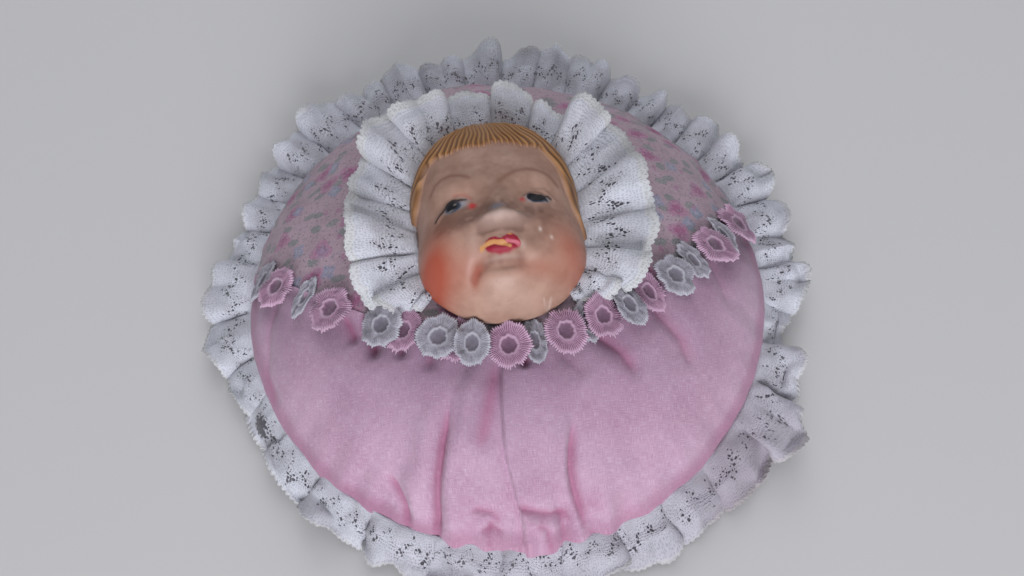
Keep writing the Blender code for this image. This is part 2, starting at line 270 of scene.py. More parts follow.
def crown_normal(x, y):
    """Unit normals of the crown from its slopes along X and Y."""
    step = 0.02
    pull = np.minimum(1.0, 0.9992 * SEAM_RADIUS / np.maximum(np.hypot(x, y), 1e-6))
    x, y = x * pull, y * pull
    slope_x = (crown(x + step, y) - crown(x - step, y)) / (2 * step)
    slope_y = (crown(x, y + step) - crown(x, y - step)) / (2 * step)
    normal = np.stack([-slope_x, -slope_y, np.ones_like(slope_x)], axis=-1)
    return normal / np.linalg.norm(normal, axis=-1, keepdims=True)


def neck_curve(count):
    """Points of the neckline, a parabola through its lowest point that ends on the seam, at even lengths."""
    end = math.sqrt(SEAM_RADIUS ** 2 - NECK_END_HEIGHT ** 2)
    x = np.linspace(-end, end, 2000)
    y = NECK_LOW + (NECK_END_HEIGHT - NECK_LOW) * (x / end) ** 2
    length = np.concatenate([[0.0], np.cumsum(np.hypot(np.diff(x), np.diff(y)))])
    along = count * length[-1]
    return np.stack([np.interp(along, length, x), np.interp(along, length, y)], axis=-1)


# Folds of the blanket: kind, plan points, depth in mm, and its width on the first and second side. A crease is a
# valley and a ridge stands up. A step keeps its height on its second side, to the left of the way its points run,
# and drops on its first. The last number is the share of its length over which it fades in.
FOLDS = (
    ("step", ((-5.8, -30), (-6.4, -35), (-7.5, -42.3), (-8.2, -47.6), (-8.6, -52.7), (-9.1, -57.6), (-8.9, -62.5),
              (-8.2, -67.4), (-7.4, -72.1), (-6.3, -76.8), (-6.1, -84)), 3.1, 3.6, 5.0, 0.04),
    ("crease", ((-8.2, -33), (-9.8, -40.6), (-11.8, -47.0), (-14.3, -54.3), (-17.8, -62)), 1.9, 2.8, 3.4, 0.3),
    ("ridge", ((-12.5, -34), (-16.8, -44.1), (-19.2, -52), (-21.8, -61)), 1.6, 2.8, 2.6, 0.4),
    ("crease", ((-21.6, -42.5), (-23.8, -48.9), (-24.8, -52.5), (-26.2, -56.0), (-27.3, -59.4), (-28.9, -63.9),
                (-29.9, -68.4), (-31.0, -76), (-31.3, -83)), 3.8, 1.5, 0.9, 0.4),
    ("ridge", ((-23.6, -41), (-27.5, -46.8), (-30.2, -53.9), (-33.4, -63), (-35, -74)), 1.5, 4.0, 3.0, 0.3),
    ("ridge", ((-21.5, -52), (-24.6, -62), (-26.0, -72), (-26.0, -80)), 1.6, 2.6, 4.0, 0.3),
    ("crease", ((11.5, -52), (10.4, -57), (9.4, -61.7), (8.5, -66.9), (8.8, -71.6), (9.8, -75.1), (12.2, -83)),
     2.9, 0.9, 2.0, 0.35),
    ("ridge", ((9.4, -51), (7.7, -59.6), (6.3, -66.7), (6.6, -71.4), (8.2, -77)), 1.3, 3.2, 1.6, 0.4),
    ("ridge", ((20.0, -62), (18.5, -72), (20.5, -81)), 1.2, 6.0, 6.0, 0.4),
    ("crease", ((-44.1, -58), (-41.6, -63.4), (-39.9, -67.2), (-39.0, -75)), 2.4, 1.2, 1.3, 0.3),
    ("ridge", ((-38.0, -58), (-36.6, -66), (-36.0, -74)), 1.2, 2.0, 3.0, 0.3),
    ("crease", ((-8.0, -73.6), (-6.3, -74.3), (0.1, -75.8), (5.8, -77.4), (8.9, -80.4)), 2.0, 1.0, 1.6, 0.1),
    ("ridge", ((-6.0, -76.6), (0.1, -78.2), (6.8, -79.6)), 1.3, 1.4, 1.4, 0.2),
    ("crease", ((-21.5, -73.2), (-18.8, -73.0), (-14.9, -74.5), (-12.3, -78.1)), 1.5, 1.0, 1.6, 0.2),
    ("crease", ((-19.6, -78), (-15.4, -77.6), (-11.9, -80)), 1.4, 0.8, 0.8, 0.2),
    ("crease", ((-15.5, -75), (-16.5, -79), (-16, -84)), 1.2, 1.0, 1.0, 0.2),
    ("crease", ((-2.9, -77.2), (0.2, -79), (1.0, -84)), 1.5, 0.8, 1.2, 0.2),
    ("crease", ((4.6, -77), (4.8, -80), (5.2, -84)), 1.3, 0.8, 0.9, 0.2),
    ("crease", ((12.0, -80.5), (15.9, -81.6), (20.0, -82)), 1.4, 0.9, 0.9, 0.2),
    ("crease", ((-0.2, -29.5), (-0.3, -35.0), (-0.5, -40.5)), 3.0, 1.4, 1.4, 0.02),
    ("crease", ((18.0, -26), (22.1, -33.0), (27.8, -38.0), (31.9, -46.2)), 1.9, 2.4, 3.6, 0.05),
    ("crease", ((38.0, -18), (41.3, -26.6), (46.8, -34.5), (49.6, -44)), 1.6, 2.8, 4.0, 0.05),
    ("crease", ((8.5, -29), (11.5, -38), (17.0, -45)), 0.9, 2.4, 3.4, 0.05),
    ("crease", ((-51.0, -10.0), (-50.4, -16.2), (-48.6, -24)), 2.2, 1.8, 2.2, 0.02),
    ("crease", ((-44.6, -14), (-44.3, -20.5), (-43.0, -30)), 2.6, 1.6, 2.2, 0.02),
    ("crease", ((-35.4, -19), (-35.2, -25), (-35.6, -32)), 1.8, 1.6, 2.2, 0.02),
    ("crease", ((-26, -23), (-26.5, -30), (-28, -37)), 1.5, 2.0, 2.4, 0.02),
    ("crease", ((-72.5, 2), (-76.0, -8), (-78.0, -19.4), (-75, -35)), 1.1, 1.4, 2.2, 0.05),
    ("crease", ((60, 0), (64, -12), (66, -24)), 0.9, 2.6, 3.2, 0.05),
)

# Where the gathered hem swells out over the lace: place across, how far, and half its width in mm
HEM_SWELLS = ((-26.5, 1.7, 3.2), (-17.5, 1.5, 3.4), (-5.5, 2.8, 5.5), (1.5, 2.0, 2.6), (9.0, 2.2, 4.0),
              (18.0, 1.8, 3.2), (-38.0, 1.0, 4.0), (31.0, 1.2, 4.5), (44.0, 1.0, 4.0))
HEM_BEGINS = (62.0, 82.0)

# Slow lumps of the stuffing: depth, size in mm and seed. Puckers at the seam, and those of the blanket's hem: how
# many go round, depth, reach in mm and seed.
LUMPS = ((0.7, 26.0, 3), (0.3, 9.0, 4), (0.1, 3.0, 6))
PUCKERS = ((46, 1.1, 5.0, 5), (17, 1.2, 11.0, 7))
HEM_PUCKERS = (38, 1.6, 8.0, 9)


def fold_height(x, y, kinds=("step", "crease", "ridge")):
    """Sum of the folds. Each falls off as e to the minus power of the distance, and fades at both its ends."""
    height = np.zeros(np.shape(x))
    for kind, path, depth, first, second, fade_in in FOLDS:
        if kind not in kinds:
            continue
        gap, side, share = line_distance(x, y, path)
        fade = depth * smooth(share, -0.02, fade_in)
        width = np.where(side > 0, second, first)
        if kind == "step":
            kept = smooth(gap * side, -0.6, 0.3)
            height += fade * (0.25 * kept - (1 - kept)) * np.exp(-gap / width)
        elif kind == "crease":
            height -= fade * smooth(share, 1.02, 0.75) * np.exp(-(gap / width) ** 1.3)
        else:
            height += fade * smooth(share, 1.02, 0.7) * np.exp(-(gap / width) ** 2)
    return height


def gather(x, y, count, depth, reach, seed):
    """Puckers at the seam: cosines round the rim with wandering phase, which die away over their reach."""
    turn = np.arctan2(y, x)
    wander = 2.2 * ring_noise(turn, 40, 11.0, seed, 90.0)
    strength = 0.55 + 0.45 * ring_noise(turn, 40, 9.0, seed + 1, 50.0)
    away = np.maximum(SEAM_RADIUS - np.hypot(x, y), 0.0)
    return -depth * strength * (0.5 + 0.5 * np.cos(count * turn + wander)) * np.exp(-away / reach)


def below_neck(x, y):
    """Distance of a plan point below the neckline, measured along Y."""
    return NECK_LOW + (NECK_END_HEIGHT - NECK_LOW) * (x / SEAM_RADIUS) ** 2 - y


def cloth_height(x, y):
    """All that lifts or dents the upper cloths: slow lumps, folds, puckers, the dent beside the trim and the hem.

    Near the seam the dents are held back, so that the cloth doesn't sink behind the lace.
    """
    radius = np.hypot(x, y)
    below = smooth(below_neck(x, y), -2.0, 3.0)
    lumps = sum(depth * noise(x, y, size, seed, 200.0) for depth, size, seed in LUMPS)
    lumps += 1.3 * (1.0 - below) * noise(x, y, 11.0, 14, 200.0) * smooth(radius, 55.0, 66.0)
    puckers = sum(gather(x, y, *kind) for kind in PUCKERS)
    hem = gather(x, y, *HEM_PUCKERS) * smooth(-y, 30.0, 70.0)
    hem += 1.2 * noise(x, y, 3.2, 12, 200.0) * blob(x, 0.0, (2.0, 0.0), (16.0, 1.0)) * smooth(-y, 71.0, 77.0)
    dent = -1.3 * np.exp(-((below_neck(x, y) - 7.0) / 6.0) ** 2)
    height = lumps + puckers + dent + below * (hem + fold_height(x, y))
    held = (0.9 - 0.15 * below) * smooth(radius, SEAM_RADIUS - 3.5, SEAM_RADIUS - 0.5)
    height = np.where(height < 0, height * (1.0 - held), height)
    swells = sum(swell * blob(x, 0.0, (place, 0), (width, 1)) for place, swell, width in HEM_SWELLS)
    return height + swells * smooth(-y, *HEM_BEGINS)


def laid_flat(x, y):
    """Plan points moved out to their distance along the crown's curve, so that the print keeps its size there."""
    radius = np.linspace(0.0, SEAM_RADIUS, 2000)
    steps = np.hypot(np.diff(radius), np.diff(crown(radius, 0.0)))
    length = np.concatenate([[0.0], np.cumsum(steps)])
    out = np.maximum(np.hypot(x, y), 1e-6)
    return np.stack([x, y], axis=-1) * (np.interp(out, radius, length) / out)[..., None]


def cloth_masks(x, y):
    """Painted shade in creases, among the hem's puckers and at the seam, and soil with painted shade under the trim.
    """
    below = below_neck(x, y)
    # Painted shade: in the creases, among the hem's puckers, and in a band at the seam that is darker at the sides
    fold_and_seam_shade = smooth(-fold_height(x, y, ("crease",)), 0.3, 2.4) * smooth(below, -2.0, 3.0)
    fold_and_seam_shade += 0.45 * smooth(-y, 66.0, 82.0) * (0.5 + 0.8 * noise(x, y, 4.0, 8))
    side = 0.2 + 0.5 * smooth(np.abs(x), 18.0, 50.0)
    rim = smooth(np.hypot(x, y), SEAM_RADIUS - 4.5, SEAM_RADIUS - 1.0) * side
    # Under the trim: soil and painted shade, with the seam band's painted shade added
    soiled_and_shaded = smooth(below, 46.0, 4.0) * (0.85 + 0.3 * noise(x, y, 9.0, 10)) * smooth(below, -4.0, 2.0)
    masks = {"fold_and_seam_shade": fold_and_seam_shade + rim, "soiled_and_shaded": soiled_and_shaded + 0.9 * rim * side}
    return {key: np.clip(np.concatenate([values, values[:, -1:]], axis=1), 0.0, 1.0) for key, values in masks.items()}


def upper_cloth(name, lower, columns, rows, paint):
    """One upper cloth: straight runs of plan points from the neckline to the seam, laid on the crown.

    Its last row tucks in under the seam.
    """
    share = np.linspace(0.0, 1.0, columns)[:, None]
    neck = neck_curve(share[:, 0]) + np.array([0.0, BLANKET_OVERLAP if lower else -BONNET_SETBACK])
    corner = math.asin(NECK_END_HEIGHT / SEAM_RADIUS)
    sweep = math.pi + 2 * corner if lower else 2 * corner - math.pi
    turn = math.pi - corner + share * sweep
    rim = SEAM_RADIUS * np.concatenate([np.cos(turn), np.sin(turn)], axis=1)
    run = np.sin(np.linspace(0.0, math.pi / 2, rows))[None, :, None]
    plan = neck[:, None] * (1 - run) + rim[:, None] * run
    x, y = plan[..., 0], plan[..., 1]
    lift = cloth_height(x, y) + (BLANKET_LIFT if lower else 0.0)
    points = np.stack([x, y, crown(x, y)], axis=-1) + lift[..., None] * crown_normal(x, y)
    tuck = points[:, -1] * np.array([TUCK_SHARE, TUCK_SHARE, 1.0]) - np.array([0.0, 0.0, TUCK_DROP])
    points = np.concatenate([points, tuck[:, None]], axis=1)
    uv = laid_flat(points[..., 0], points[..., 1])
    return surface(name, points, paint, flip=not lower, uv=uv, masks=cloth_masks(x, y), weld=True)


def base_rise(radius):
    """Share of the underside's height, from 0 on its flat middle to 1 at the seam."""
    return np.clip((radius - BASE_RADIUS) / (SEAM_RADIUS - BASE_RADIUS), 0.0, 1.0)


def make_back_cover(paint):
    """The underside: flat, then a parabola up to the seam, with puckers that deepen outwards."""
    turn = np.linspace(0.0, FULL_TURN, 360, endpoint=False)[:, None]
    radius = SEAM_RADIUS * np.sin(np.linspace(0.0, 1.0, 46)[None, :] * math.pi / 2)
    rise = base_rise(radius)
    x, y = radius * np.cos(turn), radius * np.sin(turn)
    pucker = 0.9 * rise * (0.5 + 0.5 * np.cos(BACK_PUCKERS * turn + 2.0 * noise(x, y, 16.0, 21)))
    points = np.stack([x, y, (SEAM_HEIGHT - 0.6) * rise ** 2 + pucker], axis=-1)
    return surface("back_cloth", points, paint, around=True, flip=True, uv=points[..., :2], weld=True)


def make_wadding(paint):
    """The fill: the covers' own shape, a little smaller, as one closed form."""
    turn = np.linspace(0.0, FULL_TURN, 180, endpoint=False)[:, None]
    fill_radius = SEAM_RADIUS - FILL_GAP
    out = np.sin(np.linspace(0.0, math.pi / 2, 40))[None, :] * fill_radius
    x, y = out * np.cos(turn), out * np.sin(turn)
    base = CLOTH + 0.3 + (SEAM_HEIGHT - 1.2) * base_rise(out) ** 2 + 0 * turn
    top = SEAM_HEIGHT + (CROWN_TOP - SEAM_HEIGHT - 4.5) * crown_share(out / fill_radius) + 0 * turn
    upper = np.stack([x, y, np.maximum(top, base + 0.2)], axis=-1)
    under = np.stack([x, y, base], axis=-1)[:, ::-1]
    points = np.concatenate([upper, under], axis=1)
    return surface("wadding_fill", points, paint, around=True, uv=points[..., :2], weld=True)


# Doll face. The u axis runs across the cheeks and v up to the hair, in millimetres from the mask's middle.

HAIRLINE = ((-30, -1), (-23.2, 5), (-21.2, 8.6), (-20.0, 11.6), (-19.0, 14.2), (-17.6, 16.4), (-15.0, 17.2),
            (-11.3, 16.4), (-2.3, 16.6), (9.2, 15.6), (14.6, 15.9), (17.2, 12.4), (19.3, 8.4), (21.2, 3), (22.8, -4),
            (25.0, -10), (29, -13))


def face_frame():
    """Origin and axes of the mask: across the cheeks, up to the hair, and out through the nose."""
    x, y = FACE_PLACE
    rim_drop = 1.0 - float(crown_share(FACE_WIDTH / 2 / SEAM_RADIUS))
    foot = float(crown(x, y)) - 2 * rim_drop * (CROWN_TOP - SEAM_HEIGHT)
    across = np.array([1.0, 0.0, 0.0])
    up = np.array([0.0, math.cos(FACE_TILT), -math.sin(FACE_TILT)])
    return np.array([x, y, foot]), across, up, np.cross(across, up)


def face_outline(angle):
    """The mask's rim: a rounded oval, longer over the forehead than under the chin."""
    height = np.where(np.sin(angle) > 0, FOREHEAD_HEIGHT, CHIN_HEIGHT)
    across = np.abs(np.cos(angle) / (FACE_WIDTH / 2)) ** FACE_SQUARENESS
    along = np.abs(np.sin(angle) / height) ** FACE_SQUARENESS
    return (across + along) ** (-1 / FACE_SQUARENESS)


def hair_mask(u, v):
    """1 in the moulded hair, 0 on the skin, with the hairline's own wavering edge."""
    angle = np.arctan2(v, u)
    line = np.array(HAIRLINE, float)[::-1]
    turn = np.unwrap(np.arctan2(line[:, 1], line[:, 0]))
    reach = np.interp(np.where(angle < -math.pi / 2, angle + FULL_TURN, angle), turn, np.hypot(*line.T),
                      left=99.0, right=99.0)
    comb = (0.6 * np.cos(hair_phase(u, v)) + 0.8 * noise(u, v, 3.5, 32)) * smooth(v, 9.0, 14.0)
    return smooth(np.hypot(u, v) - reach + comb, -0.5, 0.5)


def hair_phase(u, v):
    """Phase of the combed grooves, which fan out from a point above the forehead."""
    fan = np.arctan2(u - COMB_POINT[0], COMB_POINT[1] - v)
    return GROOVES * fan + 2.4 * noise(u, v, 4.5, 31)


def hair_wave(u, v):
    """Ridges of the hair from -1 to 1: combed over the forehead, and falling straight down at the temples."""
    fall = np.cos(2.9 * np.abs(u) + 0.5 * v + 2.0 * noise(u, v, 5.0, 33))
    combed = smooth(v, 2.0, 9.0)
    return combed * np.cos(hair_phase(u, v)) + (1.0 - combed) * fall


# Mounds and hollows of the face, as shares of its width: how high, where, and half their sizes. The first are the
# same on both sides: eye sockets and the balls in them, brows and cheeks. The others lie in the middle: bridge and
# tip of the nose, lips, the dip under them and the chin.
PAIRED_FORMS = ((-0.045, (0.235, -0.085), (0.12, 0.08)), (0.026, (0.235, -0.10), (0.075, 0.05)),
                (0.016, (0.22, 0.07), (0.16, 0.06)), (0.035, (0.30, -0.30), (0.15, 0.15)))
MIDDLE_FORMS = ((0.035, (0.0, -0.14), (0.07, 0.13)), (0.052, (0.0, -0.25), (0.085, 0.065)),
                (0.038, (0.0, -0.385), (0.11, 0.055)), (-0.031, (0.0, -0.443), (0.13, 0.036)),
                (0.045, (0.0, -0.54), (0.12, 0.06)))

# Finer relief in millimetres. In the middle: tip of the nose, the crease under it and the groove over the lip. On
# both sides: wings of the nose and eyeballs. As lines: the upper lids, upper and lower lip, the line between them, the
# dip under them, the corner of the mouth and the fold beside it.
FINE_MIDDLE = ((1.6, (-0.2, -12.0), (6.8, 2.2)), (-0.6, (-0.4, -14.4), (6.0, 0.7)),
               (-0.25, (-0.6, -15.6), (1.1, 0.9)))
FINE_PAIRS = ((1.5, (4.6, -11.9), (2.4, 1.8)), (0.45, (12.0, -5.0), (3.0, 2.0)))
FINE_LINES = ((0.55, ((-17.6, -5.6), (-14.5, -2.2), (-11.0, -1.4), (-7.6, -4.4)), 0.8),
              (0.55, ((7.0, -5.0), (10.0, -2.0), (13.4, -1.6), (16.2, -4.0)), 0.8),
              (0.4, ((-4.8, -17.9), (-3.0, -16.9), (-0.8, -17.5), (2.0, -16.9), (3.6, -17.9)), 1.2),
              (0.7, ((-3.4, -20.0), (-1.0, -20.6), (2.0, -20.2)), 1.3),
              (-0.4, ((-5.0, -18.4), (-2.6, -18.4), (-0.8, -18.9), (1.8, -18.6), (3.9, -18.8)), 0.5),
              (-0.7, ((-7.2, -22.3), (-4.4, -21.9), (-0.8, -21.7), (2.8, -21.8), (6.0, -22.0)), 2.0),
              (-0.8, ((-7.6, -22.2), (-8.9, -23.4), (-9.4, -25.0)), 1.7),
              (0.35, ((-8.6, -15.5), (-9.4, -19.5), (-10.6, -22.5)), 2.2))


def face_features(u, v):
    """Height of the moulded features over the plain oval, in millimetres: a sum of soft mounds and hollows."""
    a, b = u / FACE_WIDTH, v / FACE_WIDTH
    return FACE_WIDTH * (spots(np.abs(a), b, PAIRED_FORMS) + spots(a, b, MIDDLE_FORMS))


def face_detail(u, v):
    """The finer relief, and the combed hair that stands out from the skin."""
    height = spots(u, v, FINE_MIDDLE) + spots(np.abs(u), v, FINE_PAIRS) + strokes(u, v, FINE_LINES)
    locks = GROOVE_DEPTH * hair_wave(u, v) + LOCK_DEPTH * np.cos(0.37 * hair_phase(u, v))
    return height + hair_mask(u, v) * (HAIR_THICKNESS + locks)


def face_points(u, v, share, inset):
    """Mask points: an oval dome, plus its features, eased down to the crown at the rim."""
    origin, across, up, out = face_frame()
    rise = (FACE_DEPTH - inset) * np.maximum(1.0 - share ** CROWN_FLATNESS, 0.0) ** 0.5
    relief = face_features(u, v) * (1.0 - share ** 4)
    if not inset:
        relief = relief + face_detail(u, v) * (1.0 - share ** 24)
        swell = 1.0 + 0.055 * hair_mask(u, v) * smooth(share, 0.55, 0.9)
        sides = 0.06 * blob(0, v, (0, -17), (1, 8)) - 0.05 * blob(0, v, (0, 0), (1, 8))
        u, v = u * swell * (1.0 + smooth(share, 0.5, 0.9) * sides), v * swell
    points = origin + u[..., None] * across + v[..., None] * up + (rise + relief)[..., None] * out
    points[..., 2] = np.maximum(points[..., 2], crown(points[..., 0], points[..., 1]) + FACE_SEAT)
    return points


# Marks of the face's paint, grime and wear, with painted shade and painted highlights among them, in millimetres: the
# soft spots, and the lines, of each
FACE_MARKS = {
    "blush": (((1.2, (-19.6, -18.2), (5.0, 7.4)), (0.62, (19.0, -18.6), (5.6, 6.6)),
               (0.35, (-11.0, -22.0), (6.0, 4.0)), (0.35, (8.0, -23.5), (7.0, 2.4))),
              # The line by the left corner of the mouth is painted shade in its fold
              ((0.35, ((-7.6, -22.4), (-8.6, -23.6), (-9.0, -24.8)), 1.3),)),
    # Grime, and painted shade: on the forehead, round and under the eyes, between them, beside the mouth, under the
    # nose, in the crease under the lips and under the chin
    "grime_and_shade": (((1.05, (10.0, -10.6), (9.5, 6.0)), (1.05, (-10.0, -9.6), (9.0, 4.8)), (0.45, (0.0, 7.0), (22.0, 12.0)),
              (0.85, (-10.5, -8.2), (7.0, 2.8)), (0.4, (-15.0, -6.0), (5.0, 5.0)), (0.7, (-0.6, -6.0), (4.4, 4.0)),
              (0.5, (8.0, -18.0), (5.0, 6.0)), (0.3, (0.0, -31.0), (12.0, 2.5))),
             ((1.2, ((-9.0, -24.2), (-7.4, -22.2), (-4.4, -21.6), (-0.8, -21.4), (4.0, -21.6)), 1.3),
              (1.5, ((-6.2, -14.3), (-1.0, -14.6), (4.6, -14.7)), 1.2), (0.5, ((-24.0, -26.0), (-12.0, -32.0)), 1.5))),
    "corner": (((1.2, (-7.3, -5.3), (1.1, 0.9)), (0.9, (6.7, -5.2), (0.8, 0.7))),
               ((0.3, ((-12.0, -0.2), (-9.0, -0.8), (-7.4, -2.6)), 0.5),)),
    # Chips and scratches, and two spots on the left eye that are a painted glint
    "scuffs_and_eye_glints": (((0.35, (-12.0, -2.9), (0.4, 0.3)), (0.3, (-13.4, -5.0), (0.9, 0.3)), (0.6, (10.2, -15.0), (0.4, 0.6)),
               (0.5, (12.8, -16.8), (0.4, 0.5))),
              ((0.35, ((11.4, -28.0), (10.4, -29.4), (10.9, -30.6)), 0.22),
               (0.3, ((9.4, -28.6), (10.2, -30.0)), 0.22))),
    "smudge": (((1.0, (-0.6, -8.4), (2.0, 1.2)), (0.5, (-1.2, -9.8), (1.2, 1.6))), ()),
    # Painted highlights: on the nose's tip, the shelf under the lower lip, beside the mouth, along the left cheek's
    # edge and on the chin
    "painted_highlight": (((0.1, (0.0, -27.5), (10.0, 4.0)), (0.8, (-0.2, -12.3), (6.4, 1.8)), (0.5, (-0.8, -21.1), (4.6, 0.4)),
               (0.6, (4.8, -19.0), (0.9, 1.2))),
              ((0.3, ((-8.2, -15.5), (-8.8, -19.5), (-10.2, -22.5)), 1.5),)),
}

# Edges of the painted lips: places across the mouth, and the height of the edge at each
UPPER_LIP = ((-5.7, -5.1, -3.8, -2.4, -0.9, 0.9, 2.3, 3.7, 4.3),
             (-18.8, -17.2, -16.4, -16.4, -17.3, -16.5, -16.1, -17.0, -18.6))
LOWER_LIP = ((-5.7, -5.0, -3.6, -1.8, 0.2, 2.5, 3.8, 4.3),
             (-18.8, -19.6, -20.3, -20.65, -20.7, -20.3, -19.5, -18.8))
LIP_FADE = (-0.25, 0.35)

# Brush lines of the lashes and the brows: strength, path and half width
LASH_LINES = ((1.0, ((-18.2, -5.8), (-17.0, -4.7), (-15.6, -3.9), (-14.2, -2.4), (-12.7, -1.6), (-8.9, -2.6)), 0.42),
              (0.45, ((7.2, -3.9), (8.9, -2.8), (10.8, -2.3), (12.7, -2.6), (14.4, -3.4)), 0.4),
              (1.0, ((12.4, -3.6), (14.2, -3.4), (15.0, -4.1)), 0.42))
BROW_LINES = ((1.0, ((-18.9, 4.0), (-17.2, 6.1), (-15.2, 7.0), (-12.3, 6.9), (-9.5, 5.5), (-7.2, 3.8)), 0.75),
              (1.0, ((1.2, 1.2), (3.3, 2.9), (6.1, 4.2), (9.3, 5.0), (12.7, 4.9), (16.0, 3.8), (18.3, 1.8)), 0.75))


def brushed(u, v, table):
    """Painted lines where they are strongest, so that two that cross don't add up."""
    return np.max([strength * stroke(u, v, path, width) for strength, path, width in table], axis=0)


def disc(u, v, place, size, ragged, soft):
    """A painted round: 1 inside, 0 outside, with a ragged edge that fades over the soft share of its size."""
    inside = 1.0 - np.hypot((u - place[0]) / size[0], (v - place[1]) / size[1])
    return smooth(inside + ragged, -soft, soft)


def face_masks(u, v):
    """Where each paint lies, from 0 to 1. Lines follow the brush and spots are soft, as sprayed."""
    speck = noise(u, v, 1.3, 41)
    grain = noise(u, v, 4.5, 42)
    masks = {key: spots(u, v, soft) + strokes(u, v, lines) for key, (soft, lines) in FACE_MARKS.items()}
    masks["grime_and_shade"] = masks["grime_and_shade"] * (0.75 + 0.35 * grain + 0.25 * speck)
    left_white = blob((u + 11.7) * 0.97 + (v + 3.9) * 0.25, v + 3.9 - 0.2 * (u + 11.7), (0, 0), (3.7, 1.8))
    right_white = blob(u - 11.2, v + 4.7 - 0.06 * (u - 11.2), (0, 0), (3.9, 1.6))
    masks["eye_white"] = (left_white + right_white) * 1.6 - 0.35
    masks["iris"] = (disc(u, v, (-12.7, -3.7), (2.3, 2.1), 0.0, 0.2) +
                     disc(u, v, (11.0, -4.6), (2.9, 1.8), 0.15 * speck, 0.15))
    masks["pupil"] = (disc(u, v, (-13.0, -3.3), (1.7, 1.7), 0.0, 0.25) +
                      disc(u, v, (11.0, -4.3), (2.7, 1.6), 0.15 * speck, 0.15))
    masks["lash"], masks["brow"] = brushed(u, v, LASH_LINES), brushed(u, v, BROW_LINES)
    upper = smooth(np.interp(u, *UPPER_LIP) - v + 0.2 * speck, *LIP_FADE)
    lower = smooth(v - np.interp(u, *LOWER_LIP) + 0.2 * speck, *LIP_FADE)
    masks["lips"] = upper * lower * (np.abs(u + 0.7) < 5.0)
    rubbed = stroke(u, v, ((-6.1, -18.6), (-4.9, -18.1), (-2.9, -17.8), (-0.6, -18.5), (1.4, -19.3)), 0.8)
    rubbed = np.maximum(rubbed, 0.8 * blob(u, v, (2.0, -16.5), (1.3, 0.5)))
    masks["worn"] = smooth(rubbed + 0.3 * speck + 0.15 * grain, 0.4, 0.7)
    # The lip's shine is a painted highlight
    gloss = stroke(u, v, ((0.8, -18.2), (2.4, -18.5), (3.8, -19.0)), 0.8)
    masks["shine"] = masks["lips"] * smooth(gloss + 0.3 * speck, 0.4, 0.9)
    masks["hair"] = hair_mask(u, v)
    # The hair is darker in its grooves: painted shade
    masks["groove"] = masks["hair"] * (0.5 - 0.5 * hair_wave(u, v))
    return {key: np.clip(values, 0.0, 1.0) for key, values in masks.items()}


def make_face(paint):
    """The mask as one closed shell: its fine outer face down to the rim, and a plain inner wall back up."""
    turn = np.linspace(0.0, FULL_TURN, 400, endpoint=False)[:, None]
    outer = np.sin(np.linspace(0.0, math.pi / 2, 216))[None, :]
    inner = np.sin(np.linspace(math.pi / 2, 0.0, 14))[None, :]
    outline = face_outline(turn)
    outer_u, outer_v = outline * outer * np.cos(turn), outline * outer * np.sin(turn)
    inner_u, inner_v = (outline - FACE_WALL) * inner * np.cos(turn), (outline - FACE_WALL) * inner * np.sin(turn)
    shown = face_points(outer_u, outer_v, outer + 0 * turn, 0.0)
    hidden = face_points(inner_u, inner_v, inner + 0 * turn, FACE_WALL)
    points = np.concatenate([shown, hidden], axis=1)
    masks = face_masks(np.concatenate([outer_u, inner_u], axis=1), np.concatenate([outer_v, inner_v], axis=1))
    return surface("painted_face", points, paint, around=True, masks=masks, weld=True)


# Lace frills

# Panels of each frill between its tucks, as seen in the photograph: angle in degrees, and where the panel's edge
# reaches, as a radius and a height in millimetres, and how deep the tuck after it is, as a share of the usual one
EDGE_PANELS = (
    (-178, 99, 7, 1.2), (-168, 92.5, 5, 0.9), (-158, 92.5, 5, 0.6), (-147, 94, 5.5, 1.5), (-134, 92.5, 6, 1.5),
    (-120, 94, 3, 0.8), (-105, 93, 6, 1.3), (-93, 94, 2.5, 0.7), (-81, 93, 6, 1.2), (-70, 94, 3, 0.9),
    (-60, 96, 4, 1.5), (-46, 98.5, 6, 0.4), (-35, 103, 9, 2.0), (-24.5, 96.5, 10, 1.3), (-15, 90, 7, 0.7),
    (-5, 99.5, 11, 1.6), (2.5, 97, 13, 1.2), (11, 99, 13, 1.5), (19.5, 100.5, 12, 1.4), (27, 96, 15, 1.6),
    (34, 99.5, 11, 1.5), (42, 96.5, 15, 1.5), (49, 97.5, 10, 1.0),
    (56, 96, 14, 1.3), (64, 100.5, 11, 1.2), (72, 101, 15, 1.0), (80, 99, 11, 1.5), (88, 100.5, 15, 1.2),
    (97, 97.5, 12, 0.9), (106, 101, 15, 1.3), (115, 98.5, 11, 0.8), (125, 103, 14, 1.4), (135, 97.5, 15, 1.2),
    (143, 97, 10, 0.9), (151, 94.5, 12, 1.3), (159, 95, 10, 1.2), (170, 98.5, 11, 1.5))
FACE_PANELS = (
    (-54, 33, 47, 0.8), (-43, 39.5, 50, 1.0), (-29, 45, 55, 1.2), (-14, 46, 52, 0.8), (8, 46.5, 57, 1.1),
    (31, 49.5, 54, 0.7), (46, 48.5, 61, 1.5), (60, 45, 51, 1.9), (76, 47.3, 59, 2.0), (94, 48, 54, 1.1),
    (113, 49.5, 57, 0.8), (134, 50, 61, 1.5), (150, 46.5, 55, 1.0), (166, 44.5, 57, 0.9), (182, 43.5, 62, 1.6),
    (198, 45.5, 51, 1.0), (212, 41, 50, 0.8), (222, 33, 46, 1.0))

# Damage of the edge lace, by angle in degrees and share of the width: where it is torn and how far, and where it has
# gone dull
TORN_PLACE = (-158, 0.55)
TORN_SIZE = (1.9, 0.22)
AGED_PLACES = ((0.9, (-46, 0), (17, 1)), (0.45, (-92, 0), (34, 1)))


